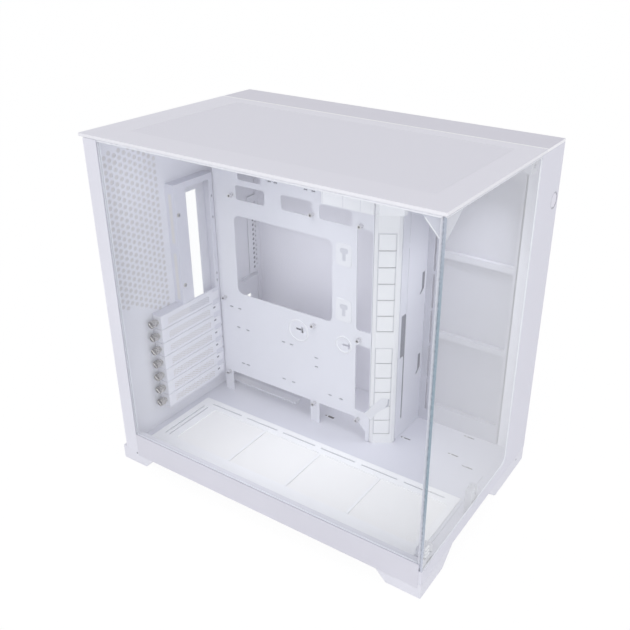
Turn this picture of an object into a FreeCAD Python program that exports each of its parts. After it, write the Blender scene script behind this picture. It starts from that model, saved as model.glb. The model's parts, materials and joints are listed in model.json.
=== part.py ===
import FreeCAD, Part
import math
import os
from types import SimpleNamespace

import Sketcher

# Two-chamber tower computer case, in millimetres.
# Origin: centre of the footprint, on the surface the feet stand on.
# +X points to the steel side panel, -X to the side glass, -Y to the front, +Z up.

# Driving sizes
SIZES = {
    # Whole case
    "case_width": 300.0,
    "case_depth": 460.0,
    "case_height": 450.0,
    "steel": 1.0,
    "glass": 4.0,
    "cover": 4.0,
    "gap": 0.4,
    "rear_inset": 7.0,
    # Base
    "foot_height": 21.0,
    "deck_rise": 1.0,
    "skirt_top": 49.0,
    "skirt_depth": 12.0,
    "skirt_wall": 1.2,
    "skirt_lip": 6.0,
    "bezel_top": 40.0,
    "bezel_post": 71.0,
    "bezel_round": 12.0,
    "bezel_return": 14.0,
    "rear_post": 21.0,
    "rear_ledge": 13.0,
    # Feet
    "left_foot_width": 55.0,
    "right_foot_width": 95.0,
    "front_foot_depth": 44.6,
    "rear_foot_depth": 40.5,
    "foot_flare": 24.0,
    "foot_slope": 20.0,
    "pad_side": 30.0,
    "pad_margin": 7.0,
    "pad_thick": 3.0,
    "pad_proud": 1.0,
    # Bottom fan window
    "frame_left": 22.0,
    "frame_width": 128.0,
    "frame_front": 27.0,
    "frame_length": 413.0,
    "frame_thick": 1.2,
    "frame_seat": 4.0,
    "window_left": 29.0,
    "window_right": 19.0,
    "window_front": 9.0,
    "window_rear": 31.0,
    "mesh_margin": 4.0,
    "rib_width": 2.0,
    "bottom_ribs": 3,
    "dash_length": 55.0,
    "dash_pitch": 64.5,
    "dash_width": 2.6,
    "dash_inset": 8.0,
    "rear_slot_first": 9.0,
    "rear_slot_pitch": 7.0,
    # Raised deck outline
    "deck_from_tray": 27.0,
    "deck_past_tray": 5.0,
    # Board tray
    "tray_from_right": 110.0,
    "tray_from_wall": 14.0,
    "tray_length": 255.0,
    "tray_bottom": 56.0,
    "leg_width": 15.0,
    "toe_width": 6.0,
    "middle_leg_back": 172.5,
    "tray_chamfer": 19.0,
    "cutout_round": 8.0,
    "window_round": 3.0,
    "standoff_height": 6.5,
    "standoff_radius": 3.0,
    "standoff_bore": 1.5,
    "standoff_depth": 5.0,
    "key_length": 12.0,
    "key_stem": 3.2,
    "key_head": 3.4,
    "key_cross": 9.0,
    "tie_length": 6.0,
    "tie_height": 2.0,
    "floor_slot_length": 15.0,
    "floor_slot_width": 2.0,
    "board_from_rear": 10.0,
    "board_top": 336.0,
    "board_middle_row": 157.48,
    "board_last_row": 281.94,
    "board_middle_column": 154.94,
    "board_last_column": 227.33,
    "board_first_offset": 22.86,
    # Board and slot bracket
    "bracket_depth": 15.0,
    "bracket_from_tray": 2.0,
    "bracket_bottom": 52.0,
    "bracket_step": 194.5,
    "bracket_top": 362.0,
    "slots_width": 116.0,
    "ports_width": 72.0,
    "aperture_side": 51.0,
    "port_lip_left": 11.0,
    "port_lip_right": 16.6,
    "port_lip_top": 21.4,
    "fan_slot_back": 6.0,
    "fan_slot_width": 2.5,
    "fan_slot_bottom": 200.0,
    "fan_slot_height": 67.0,
    "fan_slot_pitch": 82.0,
    "aperture_width": 44.45,
    "aperture_bottom": 195.0,
    "aperture_height": 158.75,
    "slot_first": 184.42,
    "slot_pitch": 20.32,
    "slot_cover_height": 18.4,
    "slot_open_height": 13.0,
    "slot_open_left": 12.0,
    "slot_open_right": 22.0,
    "slot_vent_count": 8,
    "slot_vent_length": 7.0,
    "slot_vent_height": 8.0,
    "slot_vent_pitch": 9.5,
    "slot_vent_first": 14.0,
    "tongue_length": 13.0,
    "tongue_height": 12.0,
    "screw_seat": 7.0,
    "screw_head": 5.4,
    "screw_head_length": 9.0,
    "screw_neck": 3.6,
    "screw_neck_length": 2.6,
    "screw_shank": 1.6,
    "screw_hole": 2.0,
    "screw_length": 8.0,
    "screw_slot": 1.4,
    # Rear wall
    "hex_from_left": 24.0,
    "hex_bottom": 196.0,
    "hex_pitch": 12.9,
    "hex_radius": 4.4,
    "hex_columns": 7,
    "hex_rows": 16,
    "psu_from_right": 98.0,
    "psu_bottom": 25.0,
    "psu_width": 86.0,
    "psu_height": 150.0,
    "psu_screw_edge": 6.0,
    "psu_screw_side": 16.0,
    "psu_screw_row": 64.0,
    "psu_screw_long": 138.0,
    "psu_screw_short": 114.0,
    "psu_screw_hole": 2.0,
    "psu_border_x": 8.0,
    "psu_border_right": 12.0,
    "psu_border_z": 14.0,
    "psu_border_top": 30.0,
    "psu_rail_length": 130.0,
    "psu_rail_width": 12.0,
    "psu_rail_inset": 8.0,
    # Cable cover beside the tray
    "bar_width": 33.9,
    "bar_turn": -56.5,
    "bar_depth": 9.0,
    "bar_rise": 3.0,
    "bar_bevel": 4.5,
    "bar_top": 354.0,
    "head_top": 378.0,
    "head_rise": 5.0,
    "head_reach": 5.0,
    "head_lip": 2.0,
    "ledge_length": 75.0,
    "ledge_bottom": 354.0,
    "ledge_rise": 3.0,
    "tile_left": 5.5,
    "tile_width": 20.5,
    "tile_height": 21.0,
    "tile_pitch": 22.3,
    "tile_thick": 1.4,
    "tile_recess": 1.0,
    "tile_border": 1.2,
    "tile_upper": 309.5,
    "tile_lower": 151.0,
    "tiles_in_group": 6,
    # Stepped panel and fan bracket
    "step_from_tray": 28.0,
    "step_from_right": 87.0,
    "step_slot_from_right": 69.0,
    "step_slot_width": 1.2,
    "step_slot_bottom": 213.0,
    "step_slot_height": 91.0,
    "step_slot_pitch": 97.0,
    "step_notch_width": 13.0,
    "step_notch_bottom": 150.0,
    "step_slit_width": 4.0,
    "step_slit_bottom": 50.0,
    "fan_from_right": 19.0,
    "fan_collar": 6.0,
    "fan_window_behind": 17.0,
    "fan_window_from_front": 40.0,
    "fan_bottom": 51.0,
    "fan_window_height": 109.0,
    "fan_pitch": 118.0,
    "fan_windows": 3,
    "fan_end_from_front": 36.0,
    "post_gap": 2.0,
    "fan_dash_from_step": 11.5,
    "fan_dash_length": 49.0,
    "fan_dash_pitch": 54.0,
    "fan_dash_bottom": 41.0,
    "fan_dash_count": 7,
    "fan_dash_width": 2.4,
    "filter_thick": 2.0,
    "filter_margin": 5.0,
    "hook_from_right": 22.0,
    "hook_width": 8.0,
    "hook_height": 31.0,
    "hook_slant": 6.5,
    "hook_reach": 6.0,
    "hook_upper": 225.0,
    "hook_lower": 101.5,
    # Top
    "frame_steel": 1.5,
    "seam_from_right": 57.0,
    "vent_from_left": 40.0,
    "vent_from_seam": 20.0,
    "vent_from_front": 31.0,
    "vent_from_rear": 40.0,
    "mesh_recess": 0.3,
    "fan_bar": 8.0,
    "gusset_side": 22.0,
    "gusset_drop": 24.0,
    "gusset_front": 34.0,
    # Clips behind the front glass
    "clip_width": 16.0,
    "clip_depth": 9.0,
    "clip_top": 59.0,
    "clip_left": 20.5,
    "clip_middle": 138.0,
    "clip_upper": 214.0,
    "clip_rib": 3.6,
    "clip_rib_rise": 0.8,
    "stud_radius": 2.0,
    "stud_length": 6.0,
    "stud_play": 0.3,
    "stud_drop": 7.0,
    # Power button
    "button_from_right": 13.5,
    "button_from_top": 66.0,
    "button_radius": 9.2,
    "button_play": 0.4,
    "button_recess": 0.3,
    "button_length": 8.0,
    "button_flange": 1.2,
    "button_travel": 1.5,
    "housing_wall": 1.2,
    # Right panel
    "panel_lip": 8.0,
    "panel_slot_count": 9,
    "panel_slot_height": 5.0,
    "panel_slot_pitch": 11.0,
    "panel_slot_inset": 6.0,
    # Drive brackets
    "drive_width": 76.0,
    "drive_height": 104.0,
    "drive_standoff": 6.0,
    "drive_from_rear": 12.0,
    "drive_pitch": 92.0,
    "drive_bottom": 66.0,
    "drive_screw_side": 61.72,
    "drive_screw_long": 76.6,
    "drive_screw_hole": 1.6,
}

# Tray cut-outs: distance in front of the tray's rear edge, length, bottom and height
TRAY_WINDOWS = {
    "cutout": (34.0, 160.4, 191.0, 117.0),
    "top_window": (44.0, 39.0, 359.0, 22.0),
    "rear_window": (39.5, 48.5, 331.0, 20.0),
    "middle_window": (115.0, 48.4, 332.0, 20.0),
    "front_window": (175.0, 49.0, 332.0, 19.0),
    "upper_side_window": (231.5, 22.5, 191.5, 141.0),
    "lower_side_window": (231.5, 22.5, 67.0, 103.0),
}
# Keyed cut-outs for grommets in the tray: distance in front of its rear edge, and height
KEY_HOLES = [(141.0, 164.5), (217.0, 163.0)]
# Tie slots in the tray: distance in front of its rear edge, and height
TIE_SLOTS = [
    (20.0, 166.0), (35.0, 166.0), (31.0, 135.0), (48.0, 135.0), (112.0, 136.0), (126.0, 136.0),
    (97.0, 366.0), (107.0, 366.0), (154.0, 366.0), (166.0, 366.0), (36.0, 76.0), (45.0, 76.0),
    (111.0, 75.0), (128.0, 75.0), (191.0, 76.0), (209.0, 76.0), (168.0, 114.0), (168.0, 128.0),
]
# Tie slots in the floor: distance from the right side and from the front
FLOOR_SLOTS = [(74.0, 144.5), (73.0, 75.5), (25.0, 74.0), (89.0, 262.0), (87.0, 48.0)]

for name, sizes in TRAY_WINDOWS.items():
    for measure, size in zip(("back", "length", "low", "height"), sizes):
        SIZES[f"{name}_{measure}"] = size
for number, (from_rear, height) in enumerate(TIE_SLOTS):
    SIZES[f"tie_slot_{number}_back"] = from_rear
    SIZES[f"tie_slot_{number}_middle"] = height
for number, (from_rear, height) in enumerate(KEY_HOLES):
    SIZES[f"key_hole_{number}_back"] = from_rear
    SIZES[f"key_hole_{number}_middle"] = height
for number, (from_right, from_front) in enumerate(FLOOR_SLOTS):
    SIZES[f"floor_slot_{number}_side"] = from_right
    SIZES[f"floor_slot_{number}_middle"] = from_front


class Length:
    """A size in millimetres that carries the spreadsheet formula it comes from."""

    def __init__(self, value, formula):
        self.value = float(value)
        self.formula = formula

    def __add__(self, other):
        other = as_length(other)
        return Length(self.value + other.value, f"({self.formula} + {other.formula})")

    def __sub__(self, other):
        other = as_length(other)
        return Length(self.value - other.value, f"({self.formula} - {other.formula})")

    def __mul__(self, other):
        other = as_length(other)
        return Length(self.value * other.value, f"({self.formula} * {other.formula})")

    def __truediv__(self, other):
        other = as_length(other)
        return Length(self.value / other.value, f"({self.formula} / {other.formula})")

    def __neg__(self):
        return Length(-self.value, f"(0 - {self.formula})")

    def __radd__(self, other):
        return as_length(other) + self

    def __rsub__(self, other):
        return as_length(other) - self

    def __rmul__(self, other):
        return as_length(other) * self


def as_length(number):
    if isinstance(number, Length):
        return number
    return Length(number, f"({number:.9f})")


def cosine(angle):
    return Length(math.cos(math.radians(angle.value)), f"cos({angle.formula} * 1 deg)")


def sine(angle):
    return Length(math.sin(math.radians(angle.value)), f"sin({angle.formula} * 1 deg)")


doc = FreeCAD.newDocument("computer_case")
sheet = doc.addObject("Spreadsheet::Sheet", "Sizes")
for row, (alias, value) in enumerate(SIZES.items(), start=1):
    sheet.set(f"A{row}", alias)
    sheet.set(f"B{row}", str(value))
    sheet.setAlias(f"B{row}", alias)
doc.recompute()

s = SimpleNamespace(**{alias: Length(value, f"Sizes.{alias}") for alias, value in SIZES.items()})
subparts = []


def count(alias):
    return int(round(sheet.get(alias)))


def bind(thing, name, length):
    thing.setExpression(name, as_length(length).formula)


def move_to(thing, x, y, z):
    bind(thing, "Placement.Base.x", x)
    bind(thing, "Placement.Base.y", y)
    bind(thing, "Placement.Base.z", z)


def box(name, x, y, z):
    """A block between two limits on each axis."""
    block = doc.addObject("Part::Box", name)
    bind(block, "Length", as_length(x[1]) - x[0])
    bind(block, "Width", as_length(y[1]) - y[0])
    bind(block, "Height", as_length(z[1]) - z[0])
    move_to(block, x[0], y[0], z[0])
    return block


AXIS_TURN = {
    "x": FreeCAD.Rotation(FreeCAD.Vector(0, 1, 0), 90),
    "y": FreeCAD.Rotation(FreeCAD.Vector(1, 0, 0), -90),
    "z": FreeCAD.Rotation(),
}


def rod(name, axis, start, radius, length):
    """A round bar from a start point along one axis."""
    bar = doc.addObject("Part::Cylinder", name)
    bar.Placement = FreeCAD.Placement(FreeCAD.Vector(), AXIS_TURN[axis])
    bind(bar, "Radius", radius)
    bind(bar, "Height", length)
    move_to(bar, *start)
    return bar


def post(name, axis, start, sides, radius, length):
    """A bar with flat sides from a start point along one axis; the radius reaches its corners."""
    bar = doc.addObject("Part::Prism", name)
    bar.Placement = FreeCAD.Placement(FreeCAD.Vector(), AXIS_TURN[axis])
    bar.Polygon = sides
    bind(bar, "Circumradius", radius)
    bind(bar, "Height", length)
    move_to(bar, *start)
    return bar


def rectangle(u, v):
    return [(u[0], v[0]), (u[1], v[0]), (u[1], v[1]), (u[0], v[1])]


def add_outline(sketch, points, rounds):
    """Closed outline through the points, with an arc at each corner that has a radius in rounds."""
    total = len(points)
    corners = [(as_length(u), as_length(v)) for u, v in points]
    flat = [FreeCAD.Vector(u.value, v.value, 0) for u, v in corners]
    starts = []
    ends = []
    arcs = {}
    for i in range(total):
        into = (flat[i] - flat[i - 1]).normalize()
        out = (flat[(i + 1) % total] - flat[i]).normalize()
        trim = 0.0
        if i in rounds:
            radius = as_length(rounds[i]).value
            turn = into.getAngle(out)
            trim = radius * math.tan(turn / 2)
            left_turn = into.cross(out).z > 0
            side = FreeCAD.Vector(-into.y, into.x, 0) if left_turn else FreeCAD.Vector(into.y, -into.x, 0)
            centre = flat[i] - into * trim + side * radius
            arcs[i] = (centre, radius, left_turn)
        ends.append(flat[i] - into * trim)
        starts.append(flat[i] + out * trim)
    lines = []
    for i in range(total):
        edge = Part.LineSegment(starts[i], ends[(i + 1) % total])
        lines.append(sketch.addGeometry(edge, False))
    for i in range(total):
        before = lines[i - 1]
        after = lines[i]
        if i in arcs:
            centre, radius, left_turn = arcs[i]
            first, last = (ends[i], starts[i]) if left_turn else (starts[i], ends[i])
            angles = [math.atan2(p.y - centre.y, p.x - centre.x) for p in (first, last)]
            circle = Part.Circle(centre, FreeCAD.Vector(0, 0, 1), radius)
            arc = sketch.addGeometry(Part.ArcOfCircle(circle, angles[0], angles[1]), False)
            near, far = (1, 2) if left_turn else (2, 1)
            sketch.addConstraint(Sketcher.Constraint("Tangent", before, 2, arc, near))
            sketch.addConstraint(Sketcher.Constraint("Tangent", after, 1, arc, far))
            place = sketch.addConstraint(Sketcher.Constraint("Radius", arc, radius))
            sketch.setExpression(f"Constraints[{place}]", as_length(rounds[i]).formula)
            corner = sketch.addGeometry(Part.Point(flat[i]), True)
            sketch.addConstraint(Sketcher.Constraint("PointOnObject", corner, 1, before))
            sketch.addConstraint(Sketcher.Constraint("PointOnObject", corner, 1, after))
            held = (corner, 1)
        else:
            sketch.addConstraint(Sketcher.Constraint("Coincident", before, 2, after, 1))
            held = (after, 1)
        for kind, size in zip(("DistanceX", "DistanceY"), corners[i]):
            place = sketch.addConstraint(Sketcher.Constraint(kind, -1, 1, *held, size.value))
            sketch.setExpression(f"Constraints[{place}]", size.formula)


def sketch_on(body, plane, outlines):
    sketch = body.newObject("Sketcher::SketchObject", body.Name + "_outline")
    origin_plane = [f for f in body.Origin.OriginFeatures if f.Role == plane + "_Plane"][0]
    sketch.AttachmentSupport = [(origin_plane, "")]
    sketch.MapMode = "FlatFace"
    for points, rounds in outlines:
        add_outline(sketch, points, rounds)
    return sketch


BODY_OFFSET = {"XY": "Placement.Base.z", "XZ": "Placement.Base.y", "YZ": "Placement.Base.x"}


def prism(name, plane, points, low, high, rounds=None):
    """A body padded from an outline on one plane, between two distances from that plane."""
    body = doc.addObject("PartDesign::Body", name)
    sketch = sketch_on(body, plane, [(points, rounds or {})])
    pad = body.newObject("PartDesign::Pad", name + "_pad")
    pad.Profile = sketch
    pad.Reversed = plane == "XZ"
    bind(pad, "Length", as_length(high) - low)
    bind(body, BODY_OFFSET[plane], low)
    return body


def punch(name, sheet_body, plane, outlines, low, high):
    """Cut outlines through a sheet that lies between two distances from a plane."""
    tools = []
    deep = (low - past, high + past)
    for points in outlines:
        if len(points) > 4:
            tools.append(prism(name + "_hole", plane, points, *deep))
        else:
            u = (points[0][0], points[2][0])
            v = (points[0][1], points[2][1])
            spans = {"XY": (u, v, deep), "XZ": (u, deep, v), "YZ": (deep, u, v)}[plane]
            tools.append(box(name + "_hole", *spans))
    return cut(name, sheet_body, tools)


def rounded(u, v, radius):
    """Rectangle whose corners are two flats each, close to a round."""
    near = (1 - math.sqrt(0.5)) * radius
    return [
        (u[0] + radius, v[0]),
        (u[1] - radius, v[0]),
        (u[1] - near, v[0] + near),
        (u[1], v[0] + radius),
        (u[1], v[1] - radius),
        (u[1] - near, v[1] - near),
        (u[1] - radius, v[1]),
        (u[0] + radius, v[1]),
        (u[0] + near, v[1] - near),
        (u[0], v[1] - radius),
        (u[0], v[0] + radius),
        (u[0] + near, v[0] + near),
    ]


def cut(name, base, tools):
    group = doc.addObject("Part::Compound", name + "_tools")
    group.Links = tools
    result = doc.addObject("Part::Cut", name)
    result.Base = base
    result.Tool = group
    return result


def fuse(name, pieces):
    result = doc.addObject("Part::MultiFuse", name)
    result.Shapes = pieces
    return result


def together(name, pieces):
    group = doc.addObject("Part::Compound", name)
    group.Links = pieces
    return group


def keep(label, thing):
    """Name a finished sub-part: its label is its file name."""
    thing.Label = label
    subparts.append(thing)
    return thing


# Shared planes and edges
left = -s.case_width / 2
right = s.case_width / 2
front = -s.case_depth / 2
rear = s.case_depth / 2
back = rear - s.rear_inset
wall_in = back - s.steel
lid_under = s.case_height - s.cover
frame_under = lid_under - s.frame_steel
floor_under = s.foot_height
floor_top = floor_under + s.steel
deck_top = floor_top + s.deck_rise
glass_back = front + s.glass
inner_front = glass_back + s.gap
panel_in = right - s.steel
inner_right = panel_in - s.gap
rear_post_front = back - s.rear_post
bezel_left = right - s.bezel_post
button_face = front + s.button_recess
button_tip = button_face + s.button_length
housing_room = s.button_radius + s.button_flange + s.button_play
housing_back = button_tip + s.button_travel + s.button_play + s.housing_wall
past = 5.0

# Places inside that follow the case's edges
s.tray_face = right - s.tray_from_right
s.tray_rear = wall_in - s.tray_from_wall
s.tray_front = s.tray_rear - s.tray_length
s.middle_leg = s.tray_rear - s.middle_leg_back
s.board_rear = s.tray_rear - s.board_from_rear
s.deck_inner = s.tray_face - s.deck_from_tray
s.deck_corner = s.tray_front + s.deck_past_tray
s.bracket_right = s.tray_face - s.bracket_from_tray
s.slots_left = s.bracket_right - s.slots_width
s.ports_left = s.bracket_right - s.ports_width
s.aperture_left = s.bracket_right - s.aperture_side
s.hex_left = left + s.hex_from_left
s.psu_left = right - s.psu_from_right
s.step_front = s.tray_front - s.step_from_tray
s.step_left = right - s.step_from_right
s.fan_face = right - s.fan_from_right
s.fan_window_rear = s.step_front - s.fan_window_behind
s.fan_window_front = front + s.fan_window_from_front
s.fan_end = front + s.fan_end_from_front
s.fan_dash_y = s.step_front - s.fan_dash_from_step
s.hook_x = right - s.hook_from_right
s.seam_x = right - s.seam_from_right
s.button_x = right - s.button_from_right
s.button_z = lid_under - s.button_from_top
s.drive_rear = s.tray_rear - s.drive_from_rear


# Base pan: floor with a raised deck, a front flange and the bottom fan opening
frame_x = (left + s.frame_left, left + s.frame_left + s.frame_width)
frame_y = (front + s.frame_front, front + s.frame_front + s.frame_length)
window_x = (frame_x[0] + s.window_left, frame_x[1] - s.window_right)
window_y = (frame_y[0] + s.window_front, frame_y[1] - s.window_rear)
open_x = (frame_x[0] + s.frame_seat, frame_x[1] - s.frame_seat)
open_y = (frame_y[0] + s.frame_seat, frame_y[1] - s.frame_seat)

bar_u = (cosine(s.bar_turn), sine(s.bar_turn))
bar_v = (-bar_u[1], bar_u[0])
bar_start = (s.tray_face, s.tray_front - s.steel)
bar_end = (bar_start[0] + bar_u[0] * s.bar_width, bar_start[1] + bar_u[1] * s.bar_width)
deck_front = frame_y[0] - s.frame_seat
deck_left = left + s.skirt_depth + s.gap


def base_pan():
    floor = box("floor_plate", (left + s.skirt_wall, inner_right), (inner_front, wall_in),
                (floor_under, floor_top))
    flange = box("front_flange", (left + s.skirt_depth, inner_right), (inner_front, inner_front + s.steel),
                 (floor_top, s.bezel_top - s.steel))
    deck_points = [
        (deck_left, deck_front),
        (bar_end[0] - s.steel, deck_front),
        (bar_end[0] - s.steel, bar_end[1] - s.steel),
        (bar_start[0] - s.steel, bar_start[1] - s.steel),
        (bar_start[0] - s.steel, s.deck_corner),
        (s.deck_inner, s.deck_corner),
        (s.deck_inner, frame_y[1]),
        (deck_left, frame_y[1]),
    ]
    deck = prism("deck", "XY", deck_points, floor_top, deck_top)
    whole = fuse("pan_sheet", [floor, flange, deck])
    through = (floor_under - past, deck_top + past)
    tools = [box("fan_opening", open_x, open_y, through)]
    for number in range(len(FLOOR_SLOTS)):
        x = right - getattr(s, f"floor_slot_{number}_side")
        y = front + getattr(s, f"floor_slot_{number}_middle")
        tools.append(box("floor_slot", (x - s.floor_slot_width / 2, x + s.floor_slot_width / 2),
                         (y - s.floor_slot_length / 2, y + s.floor_slot_length / 2), through))
    keep("base_pan", cut("base_pan_cut", whole, tools))


# Filter frame on the deck: long window with ribs, fan slots along both sides
def bottom_filter():
    frame = prism("frame_sheet", "XY", rectangle(frame_x, frame_y), deck_top, deck_top + s.frame_thick)
    outlines = []
    fields = count("bottom_ribs") + 1
    field = (window_y[1] - window_y[0] - s.bottom_ribs * s.rib_width) / fields
    for i in range(fields):
        low = window_y[0] + i * (field + s.rib_width)
        outlines.append(rounded(window_x, (low, low + field), s.window_round))
    dash_x = (frame_x[0] + s.dash_inset, frame_x[1] - s.dash_inset - s.dash_width)
    dashes = int((frame_y[1].value - frame_y[0].value) // s.dash_pitch.value)
    first = (frame_y[0] + frame_y[1] - (dashes - 1) * s.dash_pitch - s.dash_length) / 2
    for x in dash_x:
        for i in range(dashes):
            low = first + i * s.dash_pitch
            outlines.append(rectangle((x, x + s.dash_width), (low, low + s.dash_length)))
    for i in range(2):
        low = frame_y[1] - s.rear_slot_first - i * s.rear_slot_pitch - s.dash_width
        outlines.append(rectangle(window_x, (low, low + s.dash_width)))
    keep("bottom_filter_frame", punch("frame_cut", frame, "XY", outlines, deck_top, deck_top + s.frame_thick))
    margin = s.mesh_margin
    mesh = box("filter_cloth", (window_x[0] - margin, window_x[1] + margin),
               (window_y[0] - margin, window_y[1] + margin), (floor_top, deck_top))
    keep("bottom_filter_mesh", mesh)


# Side skirt: folded channel under the side glass, with a lip that hangs below the floor
def side_skirt():
    wall = s.skirt_wall
    outer_x = left + s.skirt_depth
    section = [
        (left, floor_under - s.skirt_lip),
        (left + wall, floor_under - s.skirt_lip),
        (left + wall, s.skirt_top - wall),
        (outer_x - wall, s.skirt_top - wall),
        (outer_x - wall, floor_top),
        (outer_x, floor_top),
        (outer_x, s.skirt_top),
        (left, s.skirt_top),
    ]
    keep("side_skirt", prism("skirt_channel", "XZ", section, inner_front, rear_post_front))


# Front bezel: low front rail and right post in one sheet, with a rounded inner corner
def octagon(radius):
    corners = []
    for i in range(8):
        angle = math.radians(22.5 + 45 * i)
        corners.append((s.button_x + radius * math.cos(angle), s.button_z + radius * math.sin(angle)))
    return corners


def front_bezel():
    outline = [
        (left, floor_under),
        (right, floor_under),
        (right, lid_under),
        (bezel_left, lid_under),
        (bezel_left, s.bezel_top),
        (left, s.bezel_top),
    ]
    face = prism("bezel_face", "XZ", outline, front, glass_back, {4: s.bezel_round})
    side = box("bezel_return", (panel_in, right), (glass_back, glass_back + s.bezel_return),
               (floor_under, lid_under))
    whole = fuse("bezel_whole", [face, side])
    hole = prism("button_hole", "XZ", octagon(s.button_radius + s.button_play), front - past, glass_back + past)
    keep("front_bezel", cut("bezel_cut", whole, [hole]))


# Feet: tapered corner blocks, notched for the skirt lip and recessed for a rubber pad
def foot(label, outer_x, width, outer_y, depth, x_way, y_way):
    wide = (outer_x, outer_x + x_way * width)
    deep = (outer_y, outer_y + y_way * depth)
    wide_top = wide[1] + x_way * s.foot_flare
    deep_top = deep[1] + y_way * s.foot_slope
    block = doc.addObject("Part::Wedge", label + "_block")
    block.Placement = FreeCAD.Placement(FreeCAD.Vector(), FreeCAD.Rotation(FreeCAD.Vector(1, 0, 0), 90))
    low_x, high_x = (wide[0], wide[1]) if x_way > 0 else (wide[1], wide[0])
    low_x2, high_x2 = (wide[0], wide_top) if x_way > 0 else (wide_top, wide[0])
    low_y, high_y = (deep[0], deep[1]) if y_way > 0 else (deep[1], deep[0])
    low_y2, high_y2 = (deep[0], deep_top) if y_way > 0 else (deep_top, deep[0])
    spans = {
        "Xmin": low_x, "Xmax": high_x, "X2min": low_x2, "X2max": high_x2,
        "Zmin": -high_y, "Zmax": -low_y, "Z2min": -high_y2, "Z2max": -low_y2,
        "Ymin": s.pad_proud, "Ymax": floor_under,
    }
    for name, length in spans.items():
        bind(block, name, length)
    pad_x = (outer_x + x_way * s.pad_margin, outer_x + x_way * (s.pad_margin + s.pad_side))
    pad_y = (outer_y + y_way * s.pad_margin, outer_y + y_way * (s.pad_margin + s.pad_side))
    pad_x = pad_x if x_way > 0 else pad_x[::-1]
    pad_y = pad_y if y_way > 0 else pad_y[::-1]
    recess = box(label + "_recess", pad_x, pad_y, (0, s.pad_thick))
    notch = box(label + "_notch", (left - past, left + s.skirt_wall), (inner_front, rear_post_front),
                (floor_under - s.skirt_lip, floor_under + past))
    keep(label, cut(label + "_cut", block, [recess, notch]))
    return box(label + "_pad", pad_x, pad_y, (0, s.pad_thick))


def feet():
    pads = [
        foot("foot_front_left", left, s.left_foot_width, front, s.front_foot_depth, 1, 1),
        foot("foot_front_right", right, s.right_foot_width, front, s.front_foot_depth, -1, 1),
        foot("foot_rear_left", left, s.left_foot_width, rear, s.rear_foot_depth, 1, -1),
        foot("foot_rear_right", right, s.right_foot_width, rear, s.rear_foot_depth, -1, -1),
    ]
    keep("foot_pads", together("pads", pads))


# Rear wall: folded sheet with a glass ledge at the left, honeycomb vent and cut-outs
psu_x = (s.psu_left, s.psu_left + s.psu_width)
psu_z = (s.psu_bottom, s.psu_bottom + s.psu_height)
bracket_in = wall_in - s.bracket_depth


def bracket_outline(inset):
    return [
        (s.slots_left + inset, s.bracket_bottom + inset),
        (s.bracket_right - inset, s.bracket_bottom + inset),
        (s.bracket_right - inset, s.bracket_top - inset),
        (s.ports_left + inset, s.bracket_top - inset),
        (s.ports_left + inset, s.bracket_step - inset),
        (s.slots_left + inset, s.bracket_step - inset),
    ]


def rear_opening():
    """Outline of the hole in the rear wall behind the bracket, with a lip around the ports."""
    low = s.bracket_step - s.steel
    return [
        (s.slots_left + s.steel, s.bracket_bottom + s.steel),
        (s.bracket_right - s.steel, s.bracket_bottom + s.steel),
        (s.bracket_right - s.steel, low),
        (s.bracket_right - s.port_lip_right, low),
        (s.bracket_right - s.port_lip_right, s.bracket_top - s.port_lip_top),
        (s.ports_left + s.port_lip_left, s.bracket_top - s.port_lip_top),
        (s.ports_left + s.port_lip_left, low),
        (s.slots_left + s.steel, low),
    ]


def honeycomb():
    """Hexagon prisms in staggered columns, one for each hole of the vent."""
    pitch = sheet.get("hex_pitch")
    radius = sheet.get("hex_radius")
    column_pitch = pitch * math.sqrt(3) / 2
    deep = 2 * past + sheet.get("steel")
    holes = []
    for column in range(count("hex_columns")):
        x = column_pitch / 2 + column * column_pitch
        shift = pitch / 2 if column % 2 else 0.0
        for row in range(count("hex_rows")):
            z = radius + shift + row * pitch
            points = []
            for k in range(7):
                angle = math.radians(60 * k)
                points.append(FreeCAD.Vector(x + radius * math.cos(angle), 0, z + radius * math.sin(angle)))
            face = Part.Face(Part.makePolygon(points))
            holes.append(face.extrude(FreeCAD.Vector(0, deep, 0)))
    vent = doc.addObject("Part::Feature", "honeycomb")
    vent.Shape = Part.makeCompound(holes)
    move_to(vent, s.hex_left, wall_in - past, s.hex_bottom)
    return vent


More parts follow.
